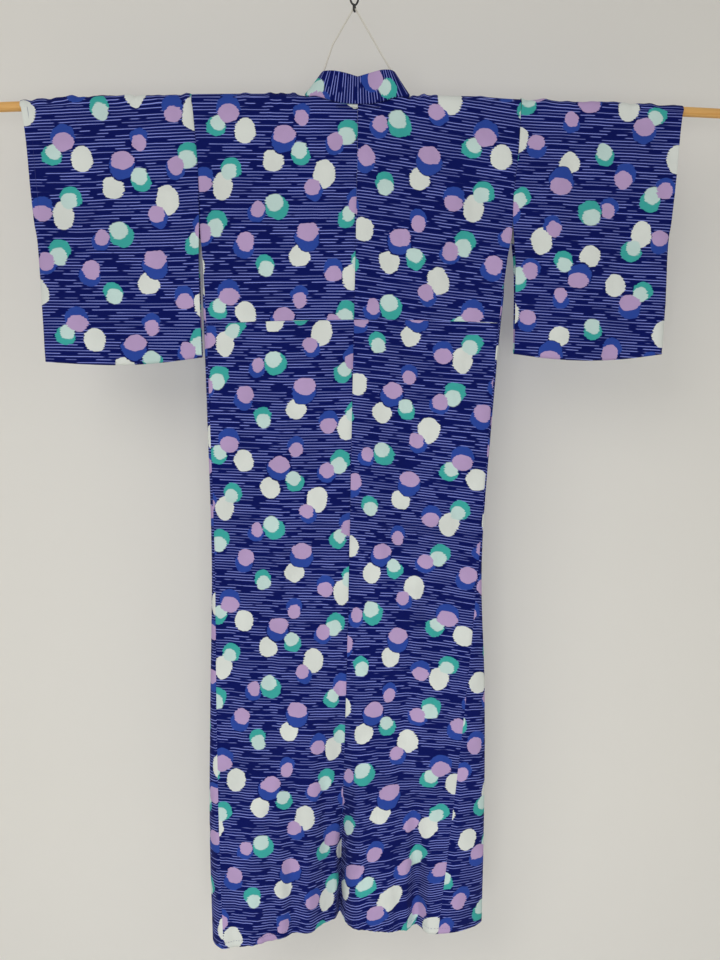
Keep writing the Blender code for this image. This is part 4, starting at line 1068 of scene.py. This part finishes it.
def useGroup(tree, group, **values):
    made = tree.nodes.new("ShaderNodeGroup")
    made.node_tree = groups[group]
    for label, value in values.items():
        fill(made, label, value)
    return made.outputs


def bumped(tree, height, distance):
    made = tree.nodes.new("ShaderNodeBump")
    for label, value in (("Strength", 1.0), ("Distance", distance), ("Height", height)):
        fill(made, label, value)
    return made.outputs[0]


def makeCotton():
    made, tree, shader = newMaterial("printedCotton", **{"Roughness": 0.88, "Sheen Weight": 0.03,
                                                       "Sheen Roughness": 0.55, "Specular IOR Level": 0.12})
    uv = tree.nodes.new("ShaderNodeUVMap")
    uv.uv_map = "cloth"
    edge = tree.nodes.new("ShaderNodeAttribute")
    edge.attribute_name = "edge"
    place = uv.outputs[0]
    printed = useGroup(tree, "print", Bolt=place)["Color"]
    weave = useGroup(tree, "weave", Bolt=place, Crease=weaveSizes["crease"])
    stitch = useGroup(tree, "stitch", Bolt=place, Edge=edge.outputs["Fac"], Inset=robe["hemDepth"])["Mask"]
    shaded = blend(tree, 1.0, printed, combine(tree, *[weave["Shade"]] * 3), "MULTIPLY")
    thread = tone(stitchSizes["colour"])
    fill(shader, "Base Color", blend(tree, maths(tree, "MULTIPLY", stitch, 0.55), shaded, thread))
    fill(shader, "Normal", bumped(tree, maths(tree, "SUBTRACT", weave["Height"], stitch), weaveSizes["height"]))
    return made


# the plain finishes: layers of noise, each with its stretch, detail and roughness, the noise's range, how far it
# covers what lies under it, and its colour. The first layer also gives the roughness and the bumps
plainFinishes = {
    "paleWood": {
        "constant": {"Specular IOR Level": 0.4}, "base": (240, 192, 118),
        "layers": (((3.0, 160.0, 160.0), 4.0, 0.6, (0.35, 0.7), (0.0, 1.0), (218, 160, 84)),
                   ((1.6, 40.0, 40.0), 2.0, 0.5, (0.4, 0.75), (0.0, 0.45), (200, 138, 66))),
        "roughness": (0.3, 0.7, 0.42, 0.58), "bump": 0.0003,
    },
    "cottonCord": {
        # the darker base tone is painted shade: the fine fibre noise mixes it with the pale tone so the cord looks
        # shaded between its fibres
        "constant": {"Roughness": 0.9, "Sheen Weight": 0.2}, "base": (204, 197, 182),
        "layers": (((2600.0, 2600.0, 2600.0), 2.0, 0.5, (0.3, 0.7), (0.0, 1.0), (240, 237, 228)),),
        "roughness": None, "bump": 0.0003,
    },
    "blackWire": {
        "constant": {"Coat Weight": 0.3, "Coat Roughness": 0.2}, "base": (16, 15, 15),
        "layers": (((900.0, 900.0, 900.0), 3.0, 0.5, (0.55, 0.8), (0.0, 1.0), (44, 41, 39)),),
        "roughness": (0.3, 0.8, 0.30, 0.50), "bump": 0.0001,
    },
}


def makePlain(name):
    look = plainFinishes[name]
    made, tree, shader = newMaterial(name, **look["constant"])
    place = tree.nodes.new("ShaderNodeTexCoord").outputs["Object"]
    colour, first = tone(look["base"]), None
    for stretch, detail, roughness, reach, cover, layerColour in look["layers"]:
        grain = noise(tree, stretched(tree, place, stretch), 1.0, detail, roughness).outputs[0]
        colour = blend(tree, fade(tree, grain, *reach, *cover), colour, tone(layerColour))
        first = grain if first is None else first
    fill(shader, "Base Color", colour)
    if look["roughness"]:
        fill(shader, "Roughness", fade(tree, first, *look["roughness"]))
    fill(shader, "Normal", bumped(tree, first, look["bump"]))
    return made


cotton = makeCotton()
slots = {"pole": ("pale_wood", "paleWood"), "hanging_cord": ("white_cord", "cottonCord"),
         "hook": ("black_metal", "blackWire")}
for node, piece in clothPieces.items():
    piece.data.materials.append(cotton)
    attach(piece, "root")
    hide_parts(node)
for node, piece in hardPieces.items():
    slot, finish = slots[node]
    piece.data.materials.append(makePlain(finish))
    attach(piece, "root")
    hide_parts(node)
print("finishes made")

studio = {
    "wallY": 0.22, "floorZ": -2.35, "curve": 0.6, "halfWidth": 6.0, "nearY": -5.0, "wallTop": 3.0,
    "backdrop": (226, 223, 216), "sky": (1.0, 0.99, 0.97), "skyStrength": 0.34, "backdropGlow": 0.07,
    # place, aimed at, width, height, watts, colour, beam's spread in degrees
    "lights": (((-1.5, -2.4, 0.7), (0.0, 0.0, -0.9), 1.8, 1.8, 20.5, (1.0, 0.985, 0.96), 180),
               ((1.9, -2.2, -0.2), (0.1, 0.0, -1.0), 1.6, 2.0, 4, (0.97, 0.98, 1.0), 180),
               ((-0.2, -3.1, -1.3), (0.0, 0.0, -1.8), 1.8, 1.0, 16, (0.95, 0.98, 1.0), 120),
               ((0.8, 2.6, 0.6), (0.0, 0.0, -0.9), 2.0, 2.0, 36, (1.0, 1.0, 1.0), 180)),
}


def buildBackdrop():
    # a wall that curves into the floor, carried sideways; from behind and for shadows it is clear
    turn, curveRadius = np.radians(np.linspace(0, 90, 24)), studio["curve"]
    y = np.concatenate([[studio["wallY"]], studio["wallY"] - curveRadius * (1 - np.cos(turn)), [studio["nearY"]]])
    floor = studio["floorZ"]
    z = np.concatenate([[studio["wallTop"]], floor + curveRadius * (1 - np.sin(turn)), [floor]])
    x = np.linspace(-studio["halfWidth"], studio["halfWidth"], 3)
    points = np.stack(np.broadcast_arrays(x[None, :], y[:, None], z[:, None]), -1)
    faces = gridFaces(np.arange(points.size // 3).reshape(points.shape[:2]))[:, ::-1]
    mesh = bpy.data.meshes.new("backdrop")
    mesh.from_pydata(points.reshape(-1, 3).tolist(), [], faces.tolist())
    mesh.shade_smooth()
    made, pale = linked("backdrop", mesh), tone(studio["backdrop"])
    finish, tree, shader = newMaterial("paleBackdrop", **{
        "Base Color": pale, "Roughness": 0.95, "Specular IOR Level": 0.1,
        "Emission Color": pale, "Emission Strength": studio["backdropGlow"]})
    clear, mixed = tree.nodes.new("ShaderNodeBsdfTransparent"), tree.nodes.new("ShaderNodeMixShader")
    behind = maths(tree, "MAXIMUM", tree.nodes.new("ShaderNodeNewGeometry").outputs["Backfacing"],
                   tree.nodes.new("ShaderNodeLightPath").outputs["Is Shadow Ray"])
    for number, value in enumerate((behind, shader.outputs[0], clear.outputs[0])):
        fill(mixed, number, value)
    fill(tree.nodes["Material Output"], "Surface", mixed.outputs[0])
    mesh.materials.append(finish)


def placeLights():
    for number, (place, aim, width, height, watts, colour, spread) in enumerate(studio["lights"]):
        data = bpy.data.lights.new(f"softbox{number}", "AREA")
        data.shape, data.size, data.size_y, data.energy, data.color = "RECTANGLE", width, height, watts, colour
        data.spread = np.radians(spread)
        toAim = Vector(aim) - Vector(place)
        turned = toAim.to_track_quat("-Z", "Y").to_matrix().to_4x4()
        linked(f"softbox{number}", data).matrix_world = Matrix.Translation(place) @ turned
    world = bpy.data.worlds.new("studio")
    world.use_nodes = True
    sky = world.node_tree.nodes["Background"]
    sky.inputs[0].default_value, sky.inputs[1].default_value = (*studio["sky"], 1.0), studio["skyStrength"]
    bpy.context.scene.world = world


buildBackdrop()
placeLights()
bpy.context.scene.view_settings.view_transform = "Standard"
print("studio lit")
